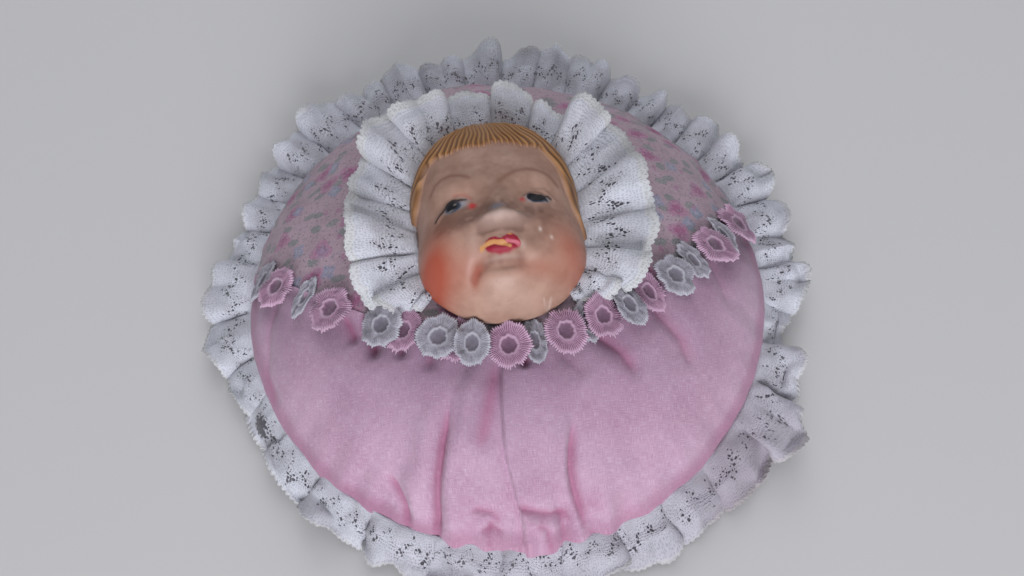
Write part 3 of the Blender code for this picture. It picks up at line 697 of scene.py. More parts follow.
def panel_wave(phase, tuck):
    """Fold section: broad flat panels, 1 at each ridge, and narrow tucks of the given depth between them."""
    return 1.0 - 2.0 * np.abs(np.sin(phase / 2)) ** (4.0 + 3.0 * tuck) * tuck


def panel_curl(phase, share, seed):
    """How far the edge rolls up or down past six tenths of the width, by a seeded random amount for each panel."""
    amounts = np.random.default_rng(seed).uniform(-0.7, 1.0, PANEL_AMOUNTS)
    ridge = np.round(phase / FULL_TURN).astype(int) % PANEL_AMOUNTS
    return amounts[ridge] * (0.5 + 0.5 * np.cos(phase)) * smooth(share, 0.55, 1.0)


def panel_slide(phase):
    """Sideways push that carries both edges of a panel over the tucks beside it."""
    return np.sin(phase) - 0.42 * np.sin(2 * phase)


def panel_lean(phase, seed):
    """Lean of the two edges that meet over each tuck: one lies over the other, by a seeded random amount."""
    amounts = np.random.default_rng(seed).uniform(0.6, 1.0, PANEL_AMOUNTS)
    sides = np.random.default_rng(seed + 1).choice([-1, 1], PANEL_AMOUNTS)
    return np.sin(phase) * (amounts * sides)[np.floor(phase / FULL_TURN).astype(int) % PANEL_AMOUNTS]


def panel_values(turn, panels, closed):
    """Phase of the folds, one whole turn from each panel to the next, with their spacing, radius and height."""
    table = np.array(panels, float)
    if closed:
        table = np.vstack([table[-1:] - [360, 0, 0, 0], table, table[:2] + [360, 0, 0, 0]])
    places = np.radians(table[:, 0])
    phase = np.interp(turn, places, FULL_TURN * np.arange(len(places)))
    spacing = np.interp(turn, (places[1:] + places[:-1]) / 2, np.diff(places))
    radius, height = np.interp(turn, places, table[:, 1]), np.interp(turn, places, table[:, 2])
    tuck = table[np.floor(phase / FULL_TURN + 1e-9).astype(int).clip(0, len(table) - 1), 3]
    return phase, spacing, radius, height, tuck


def even_turns(turn, outer, spacing):
    """The angles at which columns stand, so that the outer edge has a column at each step of its length."""
    run = np.concatenate([[0.0], np.cumsum(np.linalg.norm(np.diff(outer, axis=0), axis=1))])
    count = int(run[-1] / spacing)
    return np.interp(np.linspace(0.0, run[-1], count), run, turn), np.linspace(0.0, run[-1], count)


def teeth(length, share):
    """The lace's edge: small round picots past its last row, on slow scallops."""
    tooth = np.abs(np.sin(math.pi * length / TOOTH_SPACING)) ** 0.6
    scallop = np.abs(np.sin(math.pi * length / SCALLOP_SPACING)) ** 0.7
    return TOOTH_LENGTH * tooth * smooth(share, 0.9, 1.0) + SCALLOP_DEPTH * (scallop - 0.6) * smooth(share, 0.6, 1.0)


def crumple(turn, share, around, size, seed):
    """Small seeded dents across a frill, which grow towards its edge."""
    return noise(around * turn, EDGE_FRILL_WIDTH * share, size, seed, 200.0) * share


def kept_above(height, floor, rounding):
    """Heights that ease onto a floor: half the sum of the height over it and the root of its square plus a bit."""
    over = height - floor
    return floor + 0.5 * (over + np.sqrt(over ** 2 + rounding))


def panel_angle(turn, phase, share, spacing, tuck, wobble):
    """The angle of each point, pushed sideways so that panels overlap: less where the tuck is deep."""
    along = (0.20 + 0.05 * wobble) * spacing * np.clip(1.7 - 0.6 * tuck, 0.4, 1.0)
    return turn + along * panel_slide(phase) * share ** 0.6


def edge_frill_points(turn, share, length):
    """Seam circle, then out to each panel's edge, arched on the way, with tucks that drop and overlap between.

    The lace near the chin is more crumpled, that at the right is more pointed and that beyond the hair stands up.
    """
    phase, spacing, radius, height, tuck = panel_values(turn, EDGE_PANELS, True)
    wave = panel_wave(phase, np.minimum(tuck, 1.3))
    near = smooth(-np.sin(turn), -0.2, 0.6)
    far = smooth(np.sin(turn), 0.2, 0.7)
    right = smooth(np.cos(turn), 0.5, 0.85)
    radius, height = radius - 1.2 * far, height + 1.8 * far
    inner = SEAM_RADIUS - LACE_TUCKED_IN
    root = SEAM_HEIGHT + 0.6 + 1.8 * near
    notch = (1.6 + 0.8 * right) * (panel_wave(phase, tuck) - 1.0)
    shift = 1.3 * ring_noise(turn, 40, 13.0, 57)
    spike = (1.3 - 0.8 * near + 1.3 * right) * (0.5 - np.abs(np.sin((phase - shift) / 2)) ** 0.8)
    reach = radius - inner + notch + spike + teeth(length, share) / np.maximum(share, 0.3)
    curl = panel_curl(phase, share, 75)
    out = inner + reach * share + (1.3 + 0.9 * near) * crumple(turn, share, 90, 4.0, 52) - 1.3 * np.abs(curl)
    up = root + (height - root) * share ** 1.2
    up += (3.1 - 0.8 * near + 1.6 * far) * (wave - 1.0) * share ** 0.7
    up += (2.7 + 1.2 * right + 1.4 * far) * panel_lean(phase, 71) * share
    up += (1.2 + 1.3 * ring_noise(turn, 40, 7.0, 51)) * np.sin(math.pi * share ** 0.8) + 1.8 * curl
    up += (1.7 + right + 1.4 * near) * crumple(turn, share, 90, 4.2, 53)
    up += 0.5 * np.cos(2 * phase) * (1 - share) * smooth(share, 0.0, 0.2)
    angle = panel_angle(turn, phase, share, spacing, tuck, ring_noise(turn, 40, 9.0, 54))
    return np.stack([out * np.cos(angle), out * np.sin(angle), kept_above(up, 0.45, 0.6)], axis=-1)


def face_frill_points(turn, share, length):
    """Mask rim, then out and up to each panel's edge, with tucks that drop and overlap between."""
    phase, spacing, radius, height, tuck = panel_values(turn, FACE_PANELS, False)
    wave = panel_wave(phase, np.minimum(tuck, 1.3))
    inner = 0.965 * face_outline(turn) - 0.4
    reach = radius - inner + 1.5 * (panel_wave(phase, tuck) - 1.0) + teeth(length, share) / np.maximum(share, 0.3)
    curl = panel_curl(phase, share, 85)
    beyond = inner + reach * share + 0.9 * crumple(turn, share, 45, 4.0, 62) - 0.9 * np.abs(curl)
    angle = panel_angle(turn, phase, share, spacing, tuck, ring_noise(turn, 20, 8.0, 64))
    x = FACE_PLACE[0] + beyond * np.cos(angle)
    y = FACE_PLACE[1] + beyond * np.sin(angle)
    root = crown(FACE_PLACE[0] + inner * np.cos(turn), FACE_PLACE[1] + inner * np.sin(turn)) + 1.4
    up = root + (height - root) * share + 2.6 * (wave - 1.0) * share ** 0.7
    up += 2.8 * panel_lean(phase, 81) * share + (0.9 + ring_noise(turn, 20, 6.0, 61)) * np.sin(math.pi * share)
    up += 1.3 * crumple(turn, share, 45, 3.4, 63) + 1.2 * curl
    seat = crown(x, y)
    return np.stack([x, y, seat + kept_above(up - seat, 0.7, 0.8)], axis=-1)


def make_frill(name, shape, start, end, closed, width, paint):
    """A gathered lace strip with even columns, its own width and length as its UV map in millimetres.

    Its flat length is the whole length of its edge, though picots and small waves make that read too long.
    """
    dense = np.linspace(start, end, 20000)
    turn, length = even_turns(dense, shape(dense, np.ones_like(dense), 0 * dense), LACE_COLUMN)
    if closed:
        turn, length = turn[:-1], length[:-1]
    rows = np.concatenate([np.linspace(0.0, 0.9, 15), np.linspace(0.93, 1.0, 4)])
    turn, share = np.meshgrid(turn, rows, indexing="ij")
    run = np.broadcast_to(length[:, None], share.shape)
    degrees = np.degrees(turn)
    masks = {"torn": blob(degrees, share, TORN_PLACE, TORN_SIZE) * closed,
             "aged": spots(degrees, 0.0, AGED_PLACES) * closed}
    made = surface(name, shape(turn, share, run), paint, around=closed,
                   uv=np.stack([run, share * width], axis=-1), masks=masks)
    thicken(made, LACE)
    return made


# Daisies

# Motifs that are pinched between their neighbours, and how much of their width is left
PINCHED = {"white_daisy_01": 0.5, "white_daisy_02": 0.45, "white_daisy_05": 0.8, "white_daisy_06": 0.6,
           "white_daisy_07": 0.5, "white_daisy_08": 0.75, "white_daisy_10": 0.6, "white_daisy_11": 0.42,
           "pink_daisy_03": 0.85, "pink_daisy_07": 0.9, "pink_daisy_08": 0.7}

# By tint: length of the picots, height of the stitches and roughness, in millimetres, and the seeds' start
DAISY_KINDS = {"pink": (0.7, 0.10, 0.25, 100), "white": (0.45, 0.04, 0.45, 150)}


def make_daisy(node, tint, number):
    """One motif on a polar grid: satin petals round a sunk sheer eye, an edge of fine picots, and a plain back."""
    low, high = (np.array(corner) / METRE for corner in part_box(node))
    centre_x, centre_y = (low[:2] + high[:2]) / 2
    fringe, stitched, roughness, first_seed = DAISY_KINDS[tint]
    random = np.random.default_rng(first_seed + number)
    spin = random.uniform(0, FULL_TURN)
    turn = np.linspace(0.0, FULL_TURN, 224, endpoint=False)[:, None]
    rings = np.concatenate([np.linspace(0.0, 0.34, 4), np.linspace(0.40, 0.88, 8), [0.93, 0.965, 1.0]])[None, :]
    lobe = np.abs(np.cos(4 * (turn + spin)))
    ragged = ring_noise(turn, 3, 1.0, 200 + number, 50.0)
    picots = np.abs(np.cos(STITCHES / 2 * turn)) * (1.0 + 0.9 * ring_noise(turn, 9, 0.6, number))
    reach = DAISY_RADIUS * (0.93 + 0.05 * lobe ** 0.6 + 0.11 * ragged)
    reach = reach + fringe * (picots - 0.4) * smooth(rings, 0.86, 1.0)
    petal = np.sin(np.clip((rings - DAISY_EYE) / (1 - DAISY_EYE), 0, 1) * math.pi) ** 0.6
    height = 0.10 + 0.60 * petal * (0.72 + 0.28 * lobe ** 0.8) + 0.75 * np.exp(-((rings - DAISY_EYE) / 0.08) ** 2)
    height = height + stitched * np.cos(STITCHES * turn) * smooth(rings, 0.45, 0.6)
    height = height + roughness * ring_noise(turn, 6 * rings, 1.5, 300 + number, 80.0) * smooth(rings, 0.4, 0.6)
    height = height - 0.1 * smooth(0.33 - rings, 0.0, 0.1)
    bend = 0
    for waves, least, most in ((1, -0.6, 1.6), (2, 0.3, 1.0), (5, 0.1, 0.5)):
        bend = bend + random.uniform(least, most) * np.cos(waves * turn - random.uniform(0, 6.28))
    level = node_level(node)
    height = height + (bend * (0.45 if level == 0 else 1.0) + 0.5) * rings ** 2
    slope = 2 * (NECK_END_HEIGHT - NECK_LOW) * centre_x / SEAM_RADIUS ** 2
    along = np.array([1.0, slope]) / math.hypot(1.0, slope)
    width = PINCHED.get(node, 1.0)
    first, second = width * reach * rings * np.cos(turn), reach * rings * np.sin(turn)
    height = height + 3.0 * (1.0 - width) * (np.abs(np.cos(turn)) * rings - 0.3) ** 2
    x = centre_x + first * along[0] - second * along[1]
    y = centre_y + first * along[1] + second * along[0]
    lift = (0.4 + level * DAISY_LEVEL + height)[..., None]
    top, back = (np.stack([x, y, crown(x, y)], axis=-1) + (lift - sunk) * crown_normal(x, y) for sunk in (0.0, 0.45))
    run = np.concatenate([rings + 0 * turn, (rings + 0 * turn)[:, ::-2]], axis=1)
    masks = {"run": run, "petal": np.broadcast_to(lobe, run.shape), "angle": np.broadcast_to(turn, run.shape)}
    made = surface(f"{tint}_daisy_motif_{number:02d}", np.concatenate([top, back[:, ::-2]], axis=1),
                   finishes[tint + " silk"], around=True,
                   uv=np.stack([run * 7 * np.cos(turn), run * 7 * np.sin(turn)], axis=-1), masks=masks, weld=True)
    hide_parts(node)
    return made


def node_level(node):
    """How many motifs lie under this one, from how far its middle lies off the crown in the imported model."""
    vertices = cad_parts[node].data.vertices
    points = np.empty(len(vertices) * 3)
    vertices.foreach_get("co", points)
    points = points.reshape(-1, 3) / METRE
    lift = np.median(points[:, 2] - crown(points[:, 0], points[:, 1]))
    return round(max(0.0, (lift - 0.9) / 1.1))


# Materials

WAVE_PERIOD = FULL_TURN / 20


def add(tree, kind, inputs=None, **settings):
    """Adds a shader node. Inputs take a value or a socket to link, and settings are the node's own."""
    made = tree.nodes.new("ShaderNode" + kind)
    for key, value in settings.items():
        setattr(made, key, value)
    for key, value in (inputs or {}).items():
        if isinstance(value, bpy.types.NodeSocket):
            tree.links.new(value, made.inputs[key])
        else:
            made.inputs[key].default_value = value
    return made


def start_material(name, **shader_values):
    """A new material with its Principled shader's plain values set on its own sockets."""
    made = bpy.data.materials.new(name)
    made.use_nodes = True
    shader = made.node_tree.nodes["Principled BSDF"]
    for key, value in shader_values.items():
        shader.inputs[key.replace("_", " ").title().replace("Ior", "IOR")].default_value = value
    return made, made.node_tree, shader


def finish_material(tree, shader, tone, height, strength, distance):
    """Links a material's colour, and the relief that bends its light."""
    tree.links.new(tone, shader.inputs["Base Color"])
    bump = add(tree, "Bump", {"Height": height, "Strength": strength, "Distance": distance})
    tree.links.new(bump.outputs[0], shader.inputs["Normal"])


def mix(tree, share, first, second):
    """A socket with the first colour where share is 0 and the second where it is 1."""
    made = add(tree, "Mix", {"Factor": share, 6: first, 7: second}, data_type="RGBA")
    return made.outputs[2]


def paint_over(tree, tone, layers):
    """A socket with each layer's colour mixed over the tone in turn, as far as its share goes."""
    for share, colour in layers:
        tone = mix(tree, share, tone, srgb(colour))
    return tone


def math_node(tree, operation, *values):
    """A socket with the result of one sum or product."""
    return add(tree, "Math", dict(enumerate(values)), operation=operation).outputs[0]


def times(tree, first, second):
    """A socket with the product of two values."""
    return math_node(tree, "MULTIPLY", first, second)


def ramp(tree, value, start, end, low=0.0, high=1.0):
    """A socket that goes from low to high as value goes from start to end."""
    made = add(tree, "MapRange", {"Value": value, 1: start, 2: end, 3: low, 4: high},
               interpolation_type="SMOOTHSTEP")
    return made.outputs[0]


def clouds(tree, place, scale, detail):
    """A socket with soft noise, about one lump to each 1 / scale."""
    return add(tree, "TexNoise", {"Vector": place, "Scale": scale, "Detail": detail}).outputs["Fac"]


def carried(tree, name):
    """A socket with a mask that the mesh carries."""
    return add(tree, "Attribute", attribute_name=name).outputs["Fac"]


def cloth_place(tree):
    """A socket with the cloth's own flat coordinates in millimetres."""
    return add(tree, "UVMap", uv_map="cloth").outputs[0]


def scattered(tree, place, scale, randomness):
    """One round cell to each 1 / scale, moved from its grid place by the given share."""
    return add(tree, "TexVoronoi", {"Vector": place, "Scale": scale, "Randomness": randomness},
               voronoi_dimensions="2D")


def drifting(tree, place, scale, far):
    """Coordinates pushed about by noise, up to the given distance in millimetres."""
    ragged = add(tree, "TexNoise", {"Vector": place, "Scale": scale, "Detail": 2.0})
    drift = add(tree, "VectorMath", {0: ragged.outputs["Color"], 3: far}, operation="SCALE").outputs[0]
    return add(tree, "VectorMath", {0: place, 1: drift}, operation="ADD").outputs[0]


def two_tones(tree, place, scale, first, second, detail=3.0):
    """A socket with two close colours in slow clouds."""
    return mix(tree, ramp(tree, clouds(tree, place, scale, detail), 0.35, 0.7), srgb(first), srgb(second))


def weave(tree, place, spacing):
    """Height of a plain weave: two sets of threads crossing at the given spacing in millimetres."""
    sets = [add(tree, "TexWave", {"Vector": place, "Scale": WAVE_PERIOD / spacing, "Distortion": 0.35,
                                  "Detail Scale": 1.0}, bands_direction=way).outputs["Fac"] for way in "XY"]
    return times(tree, *sets)


def slubs(tree, cloth):
    """Uneven threads: noise drawn out along the warp, plus noise drawn out along the weft."""
    drawn = [add(tree, "Mapping", {"Vector": cloth, "Scale": scale}).outputs[0]
             for scale in ((6.5, 0.35, 1), (0.35, 6.5, 1))]
    return math_node(tree, "ADD", *[clouds(tree, place, 1.0, 1.5) for place in drawn])


def plain_cotton(name, light, deep, fold_shade, spacing):
    """Plain-woven cotton: matt, with a faint fuzz at its edges, painted shade in its folds and at the seam, and soil
    and painted shade under the trim.
    """
    made, tree, shader = start_material(name, roughness=0.85, sheen_weight=0.25, sheen_roughness=0.5,
                                        specular_ior_level=0.25)
    cloth = cloth_place(tree)
    fine = clouds(tree, cloth, 1.6, 2.0)
    uneven = slubs(tree, cloth)
    tone = paint_over(tree, two_tones(tree, cloth, 0.045, light, deep), (
        (ramp(tree, fine, 0.55, 0.8, 0.0, 0.2), deep),
        (ramp(tree, uneven, 0.95, 1.35, 0.0, 0.4), "F0DEEA"),
        (ramp(tree, uneven, 1.0, 0.65, 0.0, 0.3), "8F6A84"),
        # Soil and painted shade under the trim, then painted shade in the folds, among the hem's puckers and at the
        # seam
        (times(tree, carried(tree, "soiled_and_shaded"), 0.5), "7D607A"),
        (times(tree, carried(tree, "fold_and_seam_shade"), 0.6), fold_shade)))
    height = math_node(tree, "ADD", times(tree, weave(tree, cloth, spacing), 0.3), uneven)
    height = math_node(tree, "ADD", height, times(tree, fine, 0.8))
    finish_material(tree, shader, tone, height, 0.6, 0.0002)
    return made


def motif_mask(tree, cloth, spacing, radius, petals, shift, keep, stretch):
    """Mask of scattered printed motifs: one in each Voronoi cell, its edge waving with the angle round its middle."""
    place = add(tree, "Mapping", {"Vector": cloth, "Location": shift, "Scale": (1 / spacing, stretch / spacing, 1)})
    cells = scattered(tree, place.outputs[0], 1.0, 0.8)
    offset = add(tree, "VectorMath", {0: place.outputs[0], 1: cells.outputs["Position"]}, operation="SUBTRACT")
    parts = add(tree, "SeparateXYZ", {0: offset.outputs[0]})
    angle = math_node(tree, "ARCTAN2", parts.outputs[1], parts.outputs[0])
    chance = add(tree, "SeparateColor", {0: cells.outputs["Color"]})
    spin = math_node(tree, "MULTIPLY_ADD", chance.outputs[1], 6.28)
    lobes = math_node(tree, "COSINE", math_node(tree, "ADD", times(tree, angle, petals), spin))
    size = radius / spacing
    edge = math_node(tree, "MULTIPLY_ADD", lobes, 0.18 * size, size)
    inside = math_node(tree, "SUBTRACT", edge, cells.outputs["Distance"])
    return times(tree, ramp(tree, inside, -0.12 * size, 0.2 * size),
                 ramp(tree, chance.outputs[0], 1 - keep, 1 - keep + 0.02))


# Layers of the print: spacing and radius in mm, petals, shift, share that is printed, stretch and colour. They are
# two leaves, the rose and its heart, the blue flower and its middle, dark flecks and pink buds.
PRINT = ((10.5, 2.3, 2.0, (0.3, 0.2, 0), 0.6, 1.6, "6C7A75"), (9.4, 2.0, 2.0, (4.1, 2.7, 0), 0.45, 1.4, "76817B"),
         (14.0, 4.0, 3.0, (7.7, 3.3, 0), 0.65, 1.2, "A96F8E"), (14.0, 2.2, 5.0, (7.7, 3.3, 0), 0.65, 1.2, "984C76"),
         (14.5, 2.4, 4.0, (1.3, 8.4, 0), 0.55, 1.0, "868EA4"), (14.5, 1.0, 3.0, (1.3, 8.4, 0), 0.55, 1.0, "A19EAF"),
         (2.4, 0.32, 2.0, (5.0, 5.0, 0), 0.7, 1.3, "64595F"), (6.0, 0.9, 3.0, (2.0, 9.0, 0), 0.35, 0.8, "A0708A"))


def printed_cotton(name):
    """Plain-woven cotton printed with small scattered roses, blue flowers, leaves and dark flecks, now faded."""
    made, tree, shader = start_material(name, roughness=0.88, sheen_weight=0.2, sheen_roughness=0.5,
                                        specular_ior_level=0.22)
    cloth = cloth_place(tree)
    printed = drifting(tree, cloth, 0.9, 0.9)
    threads = weave(tree, cloth, 0.5)
    fine = clouds(tree, cloth, 1.6, 2.0)
    tone = paint_over(tree, two_tones(tree, cloth, 0.06, "B197A2", "A08891"), [
        (times(tree, motif_mask(tree, printed, *form), 0.75), colour) for *form, colour in PRINT])
    tone = paint_over(tree, tone, (
        (ramp(tree, clouds(tree, cloth, 0.55, 3.0), 0.45, 0.75, 0.0, 0.5), "857B83"),
        (ramp(tree, fine, 0.5, 0.75, 0.0, 0.35), "D9C3CC"),
        (times(tree, threads, 0.08), "FFF2F8")))
    finish_material(tree, shader, tone, math_node(tree, "ADD", threads, fine), 0.35, 0.00012)
    return made


def cotton_lace(name):
    """Machine-made cotton lace: a soft net, eyelets in a zigzag along the strip, and a slightly yellowed edge."""
    made, tree, shader = start_material(name, roughness=0.9, sheen_weight=0.3, sheen_roughness=0.5,
                                        specular_ior_level=0.2)
    strip = cloth_place(tree)
    loose = drifting(tree, strip, 0.5, 1.6)
    parts = add(tree, "SeparateXYZ", {0: loose})
    across = parts.outputs[1]
    net = scattered(tree, loose, 1.15, 0.45)
    mesh_hole = ramp(tree, net.outputs["Distance"], 0.38, 0.10)
    zigzag = math_node(tree, "PINGPONG", parts.outputs[0], SCALLOP_SPACING / 2)
    zigzag = math_node(tree, "MULTIPLY_ADD", zigzag, 1.1, 5.2)
    away = math_node(tree, "ABSOLUTE", math_node(tree, "SUBTRACT", across, zigzag))
    band = times(tree, ramp(tree, away, 3.8, 1.4), ramp(tree, clouds(tree, strip, 0.13, 1.0), 0.32, 0.46))
    slanted = add(tree, "Mapping", {"Vector": loose, "Rotation": (0, 0, 0.5), "Scale": (0.72, 0.98, 1)}).outputs[0]
    eyelets = scattered(tree, slanted, 1.0, 0.8)
    chance = add(tree, "SeparateColor", {0: eyelets.outputs["Color"]}).outputs[0]
    size = times(tree, ramp(tree, chance, 0.35, 1.0, 0.04, 0.52), band)
    hole = ramp(tree, math_node(tree, "SUBTRACT", size, eyelets.outputs["Distance"]), -0.02, 0.08)
    hole = times(tree, hole, ramp(tree, across, 1.0, 2.0))
    rent = math_node(tree, "SUBTRACT", carried(tree, "torn"), times(tree, eyelets.outputs["Distance"], 0.7))
    hole = math_node(tree, "MAXIMUM", hole, ramp(tree, rent, 0.16, 0.24))
    # The net's small holes, the eyelets and the tear are coloured dark: painted shade for what shows through them
    tone = paint_over(tree, two_tones(tree, strip, 0.08, "D0D1D8", "BABABF", 2.0), (
        (times(tree, mesh_hole, ramp(tree, away, 4.5, 1.5, 0.32, 0.75)), "7C797F"),
        (times(tree, carried(tree, "aged"), 0.75), "9C8D97"),
        (ramp(tree, across, 16.6, 17.6, 0.0, 0.25), "C6C3AC"),
        (times(tree, hole, 0.85), "423D46")))
    tree.links.new(math_node(tree, "SUBTRACT", 1.0, times(tree, hole, 0.5)), shader.inputs["Alpha"])
    ribs = add(tree, "TexWave", {"Vector": loose, "Scale": WAVE_PERIOD / 0.8, "Distortion": 1.5, "Detail": 2.0,
                                 "Detail Scale": 1.5}, bands_direction="Y").outputs["Fac"]
    height = math_node(tree, "SUBTRACT", times(tree, ribs, 0.6), mesh_hole)
    height = math_node(tree, "SUBTRACT", height, times(tree, hole, 2.5))
    finish_material(tree, shader, tone, height, 0.6, 0.0002)
    return made


def satin_stitch(name, body, pale, shade, eye, lines):
    """Machine embroidery: rayon stitches that run outwards and shine a little, with lighter loops at the rims."""
    made, tree, shader = start_material(name, roughness=0.55, sheen_weight=0.3, sheen_roughness=0.4,
                                        specular_ior_level=0.35)
    run, cloth = carried(tree, "run"), cloth_place(tree)
    stitch = math_node(tree, "COSINE", times(tree, carried(tree, "angle"), float(STITCHES)))
    fine = clouds(tree, cloth, 2.2, 3.0)
    inner_rim = times(tree, ramp(tree, run, 0.34, 0.40), ramp(tree, run, 0.50, 0.42))
    # Painted shade between the petals and on one side of each stitch line, and painted highlights on the other side
    # and on the raised ring round the eye
    petals = mix(tree, ramp(tree, carried(tree, "petal"), -0.1, 0.4, 0.3, 1.0), srgb(shade), srgb(body))
    tone = paint_over(tree, petals, (
        (ramp(tree, run, 0.6, 0.5), body),
        (ramp(tree, fine, 0.45, 0.75, 0.0, 0.6), pale),
        (ramp(tree, clouds(tree, cloth, 0.7, 3.0), 0.45, 0.7, 0.0, 0.5), shade),
        (ramp(tree, stitch, -0.4, 1.0, 0.0, lines), pale),
        (ramp(tree, stitch, 0.2, -0.9, 0.0, lines), shade),
        (ramp(tree, run, 0.80, 0.97, 0.0, 0.75), pale),
        (times(tree, inner_rim, 0.75), pale),
        (ramp(tree, run, 0.37, 0.31), eye)))
    height = math_node(tree, "ADD", times(tree, stitch, lines), times(tree, fine, 2.0))
    finish_material(tree, shader, tone, height, 0.6, 0.00018)
    return made


# Paints and marks of the face, in the order in which they lie: mask, strength and colour. The grime mask and the
# grooves of the hair carry painted shade, and the highlights, the lips' shine and the eye's glint are painted
# highlights.
FACE_PAINTS = (("grime_and_shade", 0.7, "634539"), ("painted_highlight", 0.7, "CDB5AA"), ("blush", 0.95, "B0523A"), ("smudge", 1.0, "80777A"),
               ("eye_white", 1.0, "9A9AA0"), ("iris", 1.0, "3A4252"), ("pupil", 1.0, "101116"),
               ("corner", 1.0, "B23A38"), ("brow", 0.7, "855B49"), ("lash", 1.0, "2A211F"), ("lips", 1.0, "991F34"),
               ("shine", 1.0, "CE6E7A"), ("worn", 0.9, "CF9458"), ("scuffs_and_eye_glints", 1.0, "E8D9CC"), ("hair", 1.0, "B5834F"),
               ("groove", 1.0, "6B4529"))


def painted_plastic(name):
    """Moulded plastic, sprayed and brushed by hand: a soft gloss, dulled by age, with grime and painted shade in its
    hollows, and painted highlights.
    """
    made, tree, shader = start_material(name, roughness=0.5, specular_ior_level=0.32)
    place = add(tree, "TexCoord").outputs["Object"]
    mottle, fine = clouds(tree, place, 160.0, 4.0), clouds(tree, place, 900.0, 3.0)
    skin = mix(tree, ramp(tree, mottle, 0.35, 0.7), srgb("BA9582"), srgb("A98370"))
    tone = paint_over(tree, skin, [(times(tree, carried(tree, key), strength), colour)
                                   for key, strength, colour in FACE_PAINTS])
    tone = paint_over(tree, tone, [(ramp(tree, fine, 0.6, 0.75, 0.0, 0.12), "5C4033")])
    dull = ramp(tree, math_node(tree, "ADD", carried(tree, "grime_and_shade"), mottle), 0.3, 1.3, 0.42, 0.7)
    tree.links.new(dull, shader.inputs["Roughness"])
    finish_material(tree, shader, tone, fine, 0.15, 0.0001)
    return made


def soft_wadding(name):
    """Polyester wadding: loose white fibres, matt all over."""
    made, tree, shader = start_material(name, roughness=0.95)
    fibres = clouds(tree, add(tree, "TexCoord").outputs["Object"], 400.0, 5.0)
    finish_material(tree, shader, mix(tree, fibres, srgb("E4DFD6"), srgb("F1EEE8")), fibres, 0.6, 0.0005)
    return made


# Colours are those of the cloths as they look now, faded and soiled. A plain cotton's third colour is the painted
# shade of its folds and seam. The last number of a cotton is its thread spacing in mm, and of the embroidery how
# strongly its stitches show.
finishes = {
    "blanket": plain_cotton("pink_cotton_lawn", "C9A3B9", "BC92AA", "A85A7C", 0.5),
    "back": plain_cotton("pink_cotton_calico", "C9A2B2", "BE95A6", "A8607C", 0.6),
    "print": printed_cotton("printed_cotton_lawn"),
    "lace": cotton_lace("raschel_cotton_lace"),
    "pink silk": satin_stitch("pink_rayon_embroidery", "A3768F", "D2AFC5", "7E5670", "86647A", 0.5),
    "white silk": satin_stitch("white_rayon_embroidery", "918C94", "BDBBC2", "746E78", "7F7882", 0.22),
    "face": painted_plastic("painted_celluloid_plastic"),
    "wadding": soft_wadding("polyester_wadding"),
}


# The pieces

blanket = upper_cloth("gathered_blanket", True, 420, 210, finishes["blanket"])
bonnet = upper_cloth("flowered_bonnet", False, 330, 130, finishes["print"])
back = make_back_cover(finishes["back"])
fill = make_wadding(finishes["wadding"])
face = make_face(finishes["face"])
edge_start, face_start, face_end = np.radians([EDGE_PANELS[0][0], FACE_PANELS[0][0], FACE_PANELS[-1][0]])
edge_frill = make_frill("edge_lace_frill", edge_frill_points, edge_start, edge_start + FULL_TURN, True,
                        EDGE_FRILL_WIDTH, finishes["lace"])
face_frill = make_frill("face_lace_frill", face_frill_points, face_start, face_end, False,
                        FACE_FRILL_WIDTH, finishes["lace"])
for piece, node in ((blanket, "blanket"), (bonnet, "bonnet_cover"), (back, "back_cover"), (fill, "stuffing"),
                    (face, "doll_face"), (edge_frill, "edge_ruffle"), (face_frill, "face_ruffle")):
    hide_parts(node)
for tint, count in (("pink", 10), ("white", 11)):
    for number in range(1, count + 1):
        make_daisy(f"{tint}_daisy_{number:02d}", tint, number)
wadding_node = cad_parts["face_wadding"]
wadding_node.data.materials.clear()
wadding_node.data.materials.append(finishes["wadding"])


# Floor, lights and camera, with places in metres and the lens in millimetres

FLOOR_SIZE = 6.0
LAMP_TARGET = (0, 0, 0.02)
ROOM_LIGHT = 0.30
CAMERA_TARGET = (0.0011, -0.0015, 0.020)
CAMERA_DISTANCE = 0.35
CAMERA_ELEVATION = math.radians(63.0)
CAMERA_AZIMUTH = math.radians(-8.0)
CAMERA_LENS = 38.6


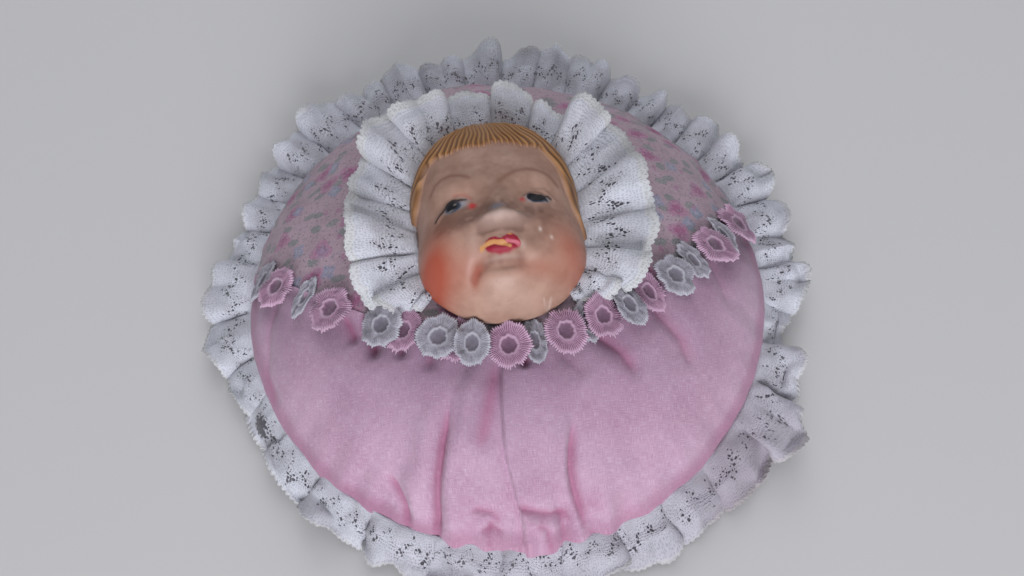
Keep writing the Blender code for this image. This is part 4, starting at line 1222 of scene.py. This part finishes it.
def make_floor():
    """A wide pale floor under the doll."""
    half = FLOOR_SIZE / 2
    mesh = bpy.data.meshes.new("floor")
    mesh.from_pydata([(-half, -half, 0), (half, -half, 0), (half, half, 0), (-half, half, 0)], [], [(0, 1, 2, 3)])
    floor = new_object("floor", mesh)
    made, _, shader = start_material("pale_floor", roughness=0.9, specular_ior_level=0.1)
    shader.inputs["Base Color"].default_value = srgb("CFCDCA")
    mesh.materials.append(made)


def aim(place, target):
    """A matrix at a place, in metres, that looks at a target with the world's +Z upwards in its picture."""
    back_way = np.array(place, float) - np.array(target, float)
    back_way /= np.linalg.norm(back_way)
    right = np.cross((0.0, 0.0, 1.0), back_way)
    right /= np.linalg.norm(right)
    up = np.cross(back_way, right)
    axes = np.stack([right, up, back_way], axis=1).tolist()
    return Matrix([[*row, at] for row, at in zip(axes, place)] + [[0, 0, 0, 1]])


def make_lamp(name, place, size, power, colour):
    """A square soft light aimed at the cushion."""
    lamp = bpy.data.lights.new(name, "AREA")
    lamp.size = size
    lamp.energy = power
    lamp.color = srgb(colour)[:3]
    new_object(name, lamp).matrix_world = aim(place, LAMP_TARGET)


def make_camera():
    """The photograph's view: from the chin side, 63 degrees up and 8 degrees round to the left."""
    camera = bpy.data.cameras.new("camera")
    camera.lens = CAMERA_LENS
    camera.sensor_width = 36.0
    camera.clip_start = 0.01
    away = np.array([math.sin(CAMERA_AZIMUTH) * math.cos(CAMERA_ELEVATION),
                     -math.cos(CAMERA_AZIMUTH) * math.cos(CAMERA_ELEVATION), math.sin(CAMERA_ELEVATION)])
    place = np.array(CAMERA_TARGET) + CAMERA_DISTANCE * away
    made = new_object("camera", camera)
    made.matrix_world = aim(place.tolist(), CAMERA_TARGET)
    bpy.context.scene.camera = made


make_floor()
make_lamp("window", (-0.10, -1.28, 0.58), 0.8, 17.5, "F4F6FF")
make_lamp("overhead", (0.1, 0.2, 1.3), 1.2, 3.4, "F6F8FF")
make_lamp("sky", (0.1, 1.25, 0.85), 1.0, 6.0, "F2F6FF")
world = bpy.data.worlds.new("room")
world.use_nodes = True
world.node_tree.nodes["Background"].inputs[0].default_value = srgb("E6E9F2")
world.node_tree.nodes["Background"].inputs[1].default_value = ROOM_LIGHT
bpy.context.scene.world = world
bpy.context.scene.view_settings.view_transform = "Standard"
make_camera()
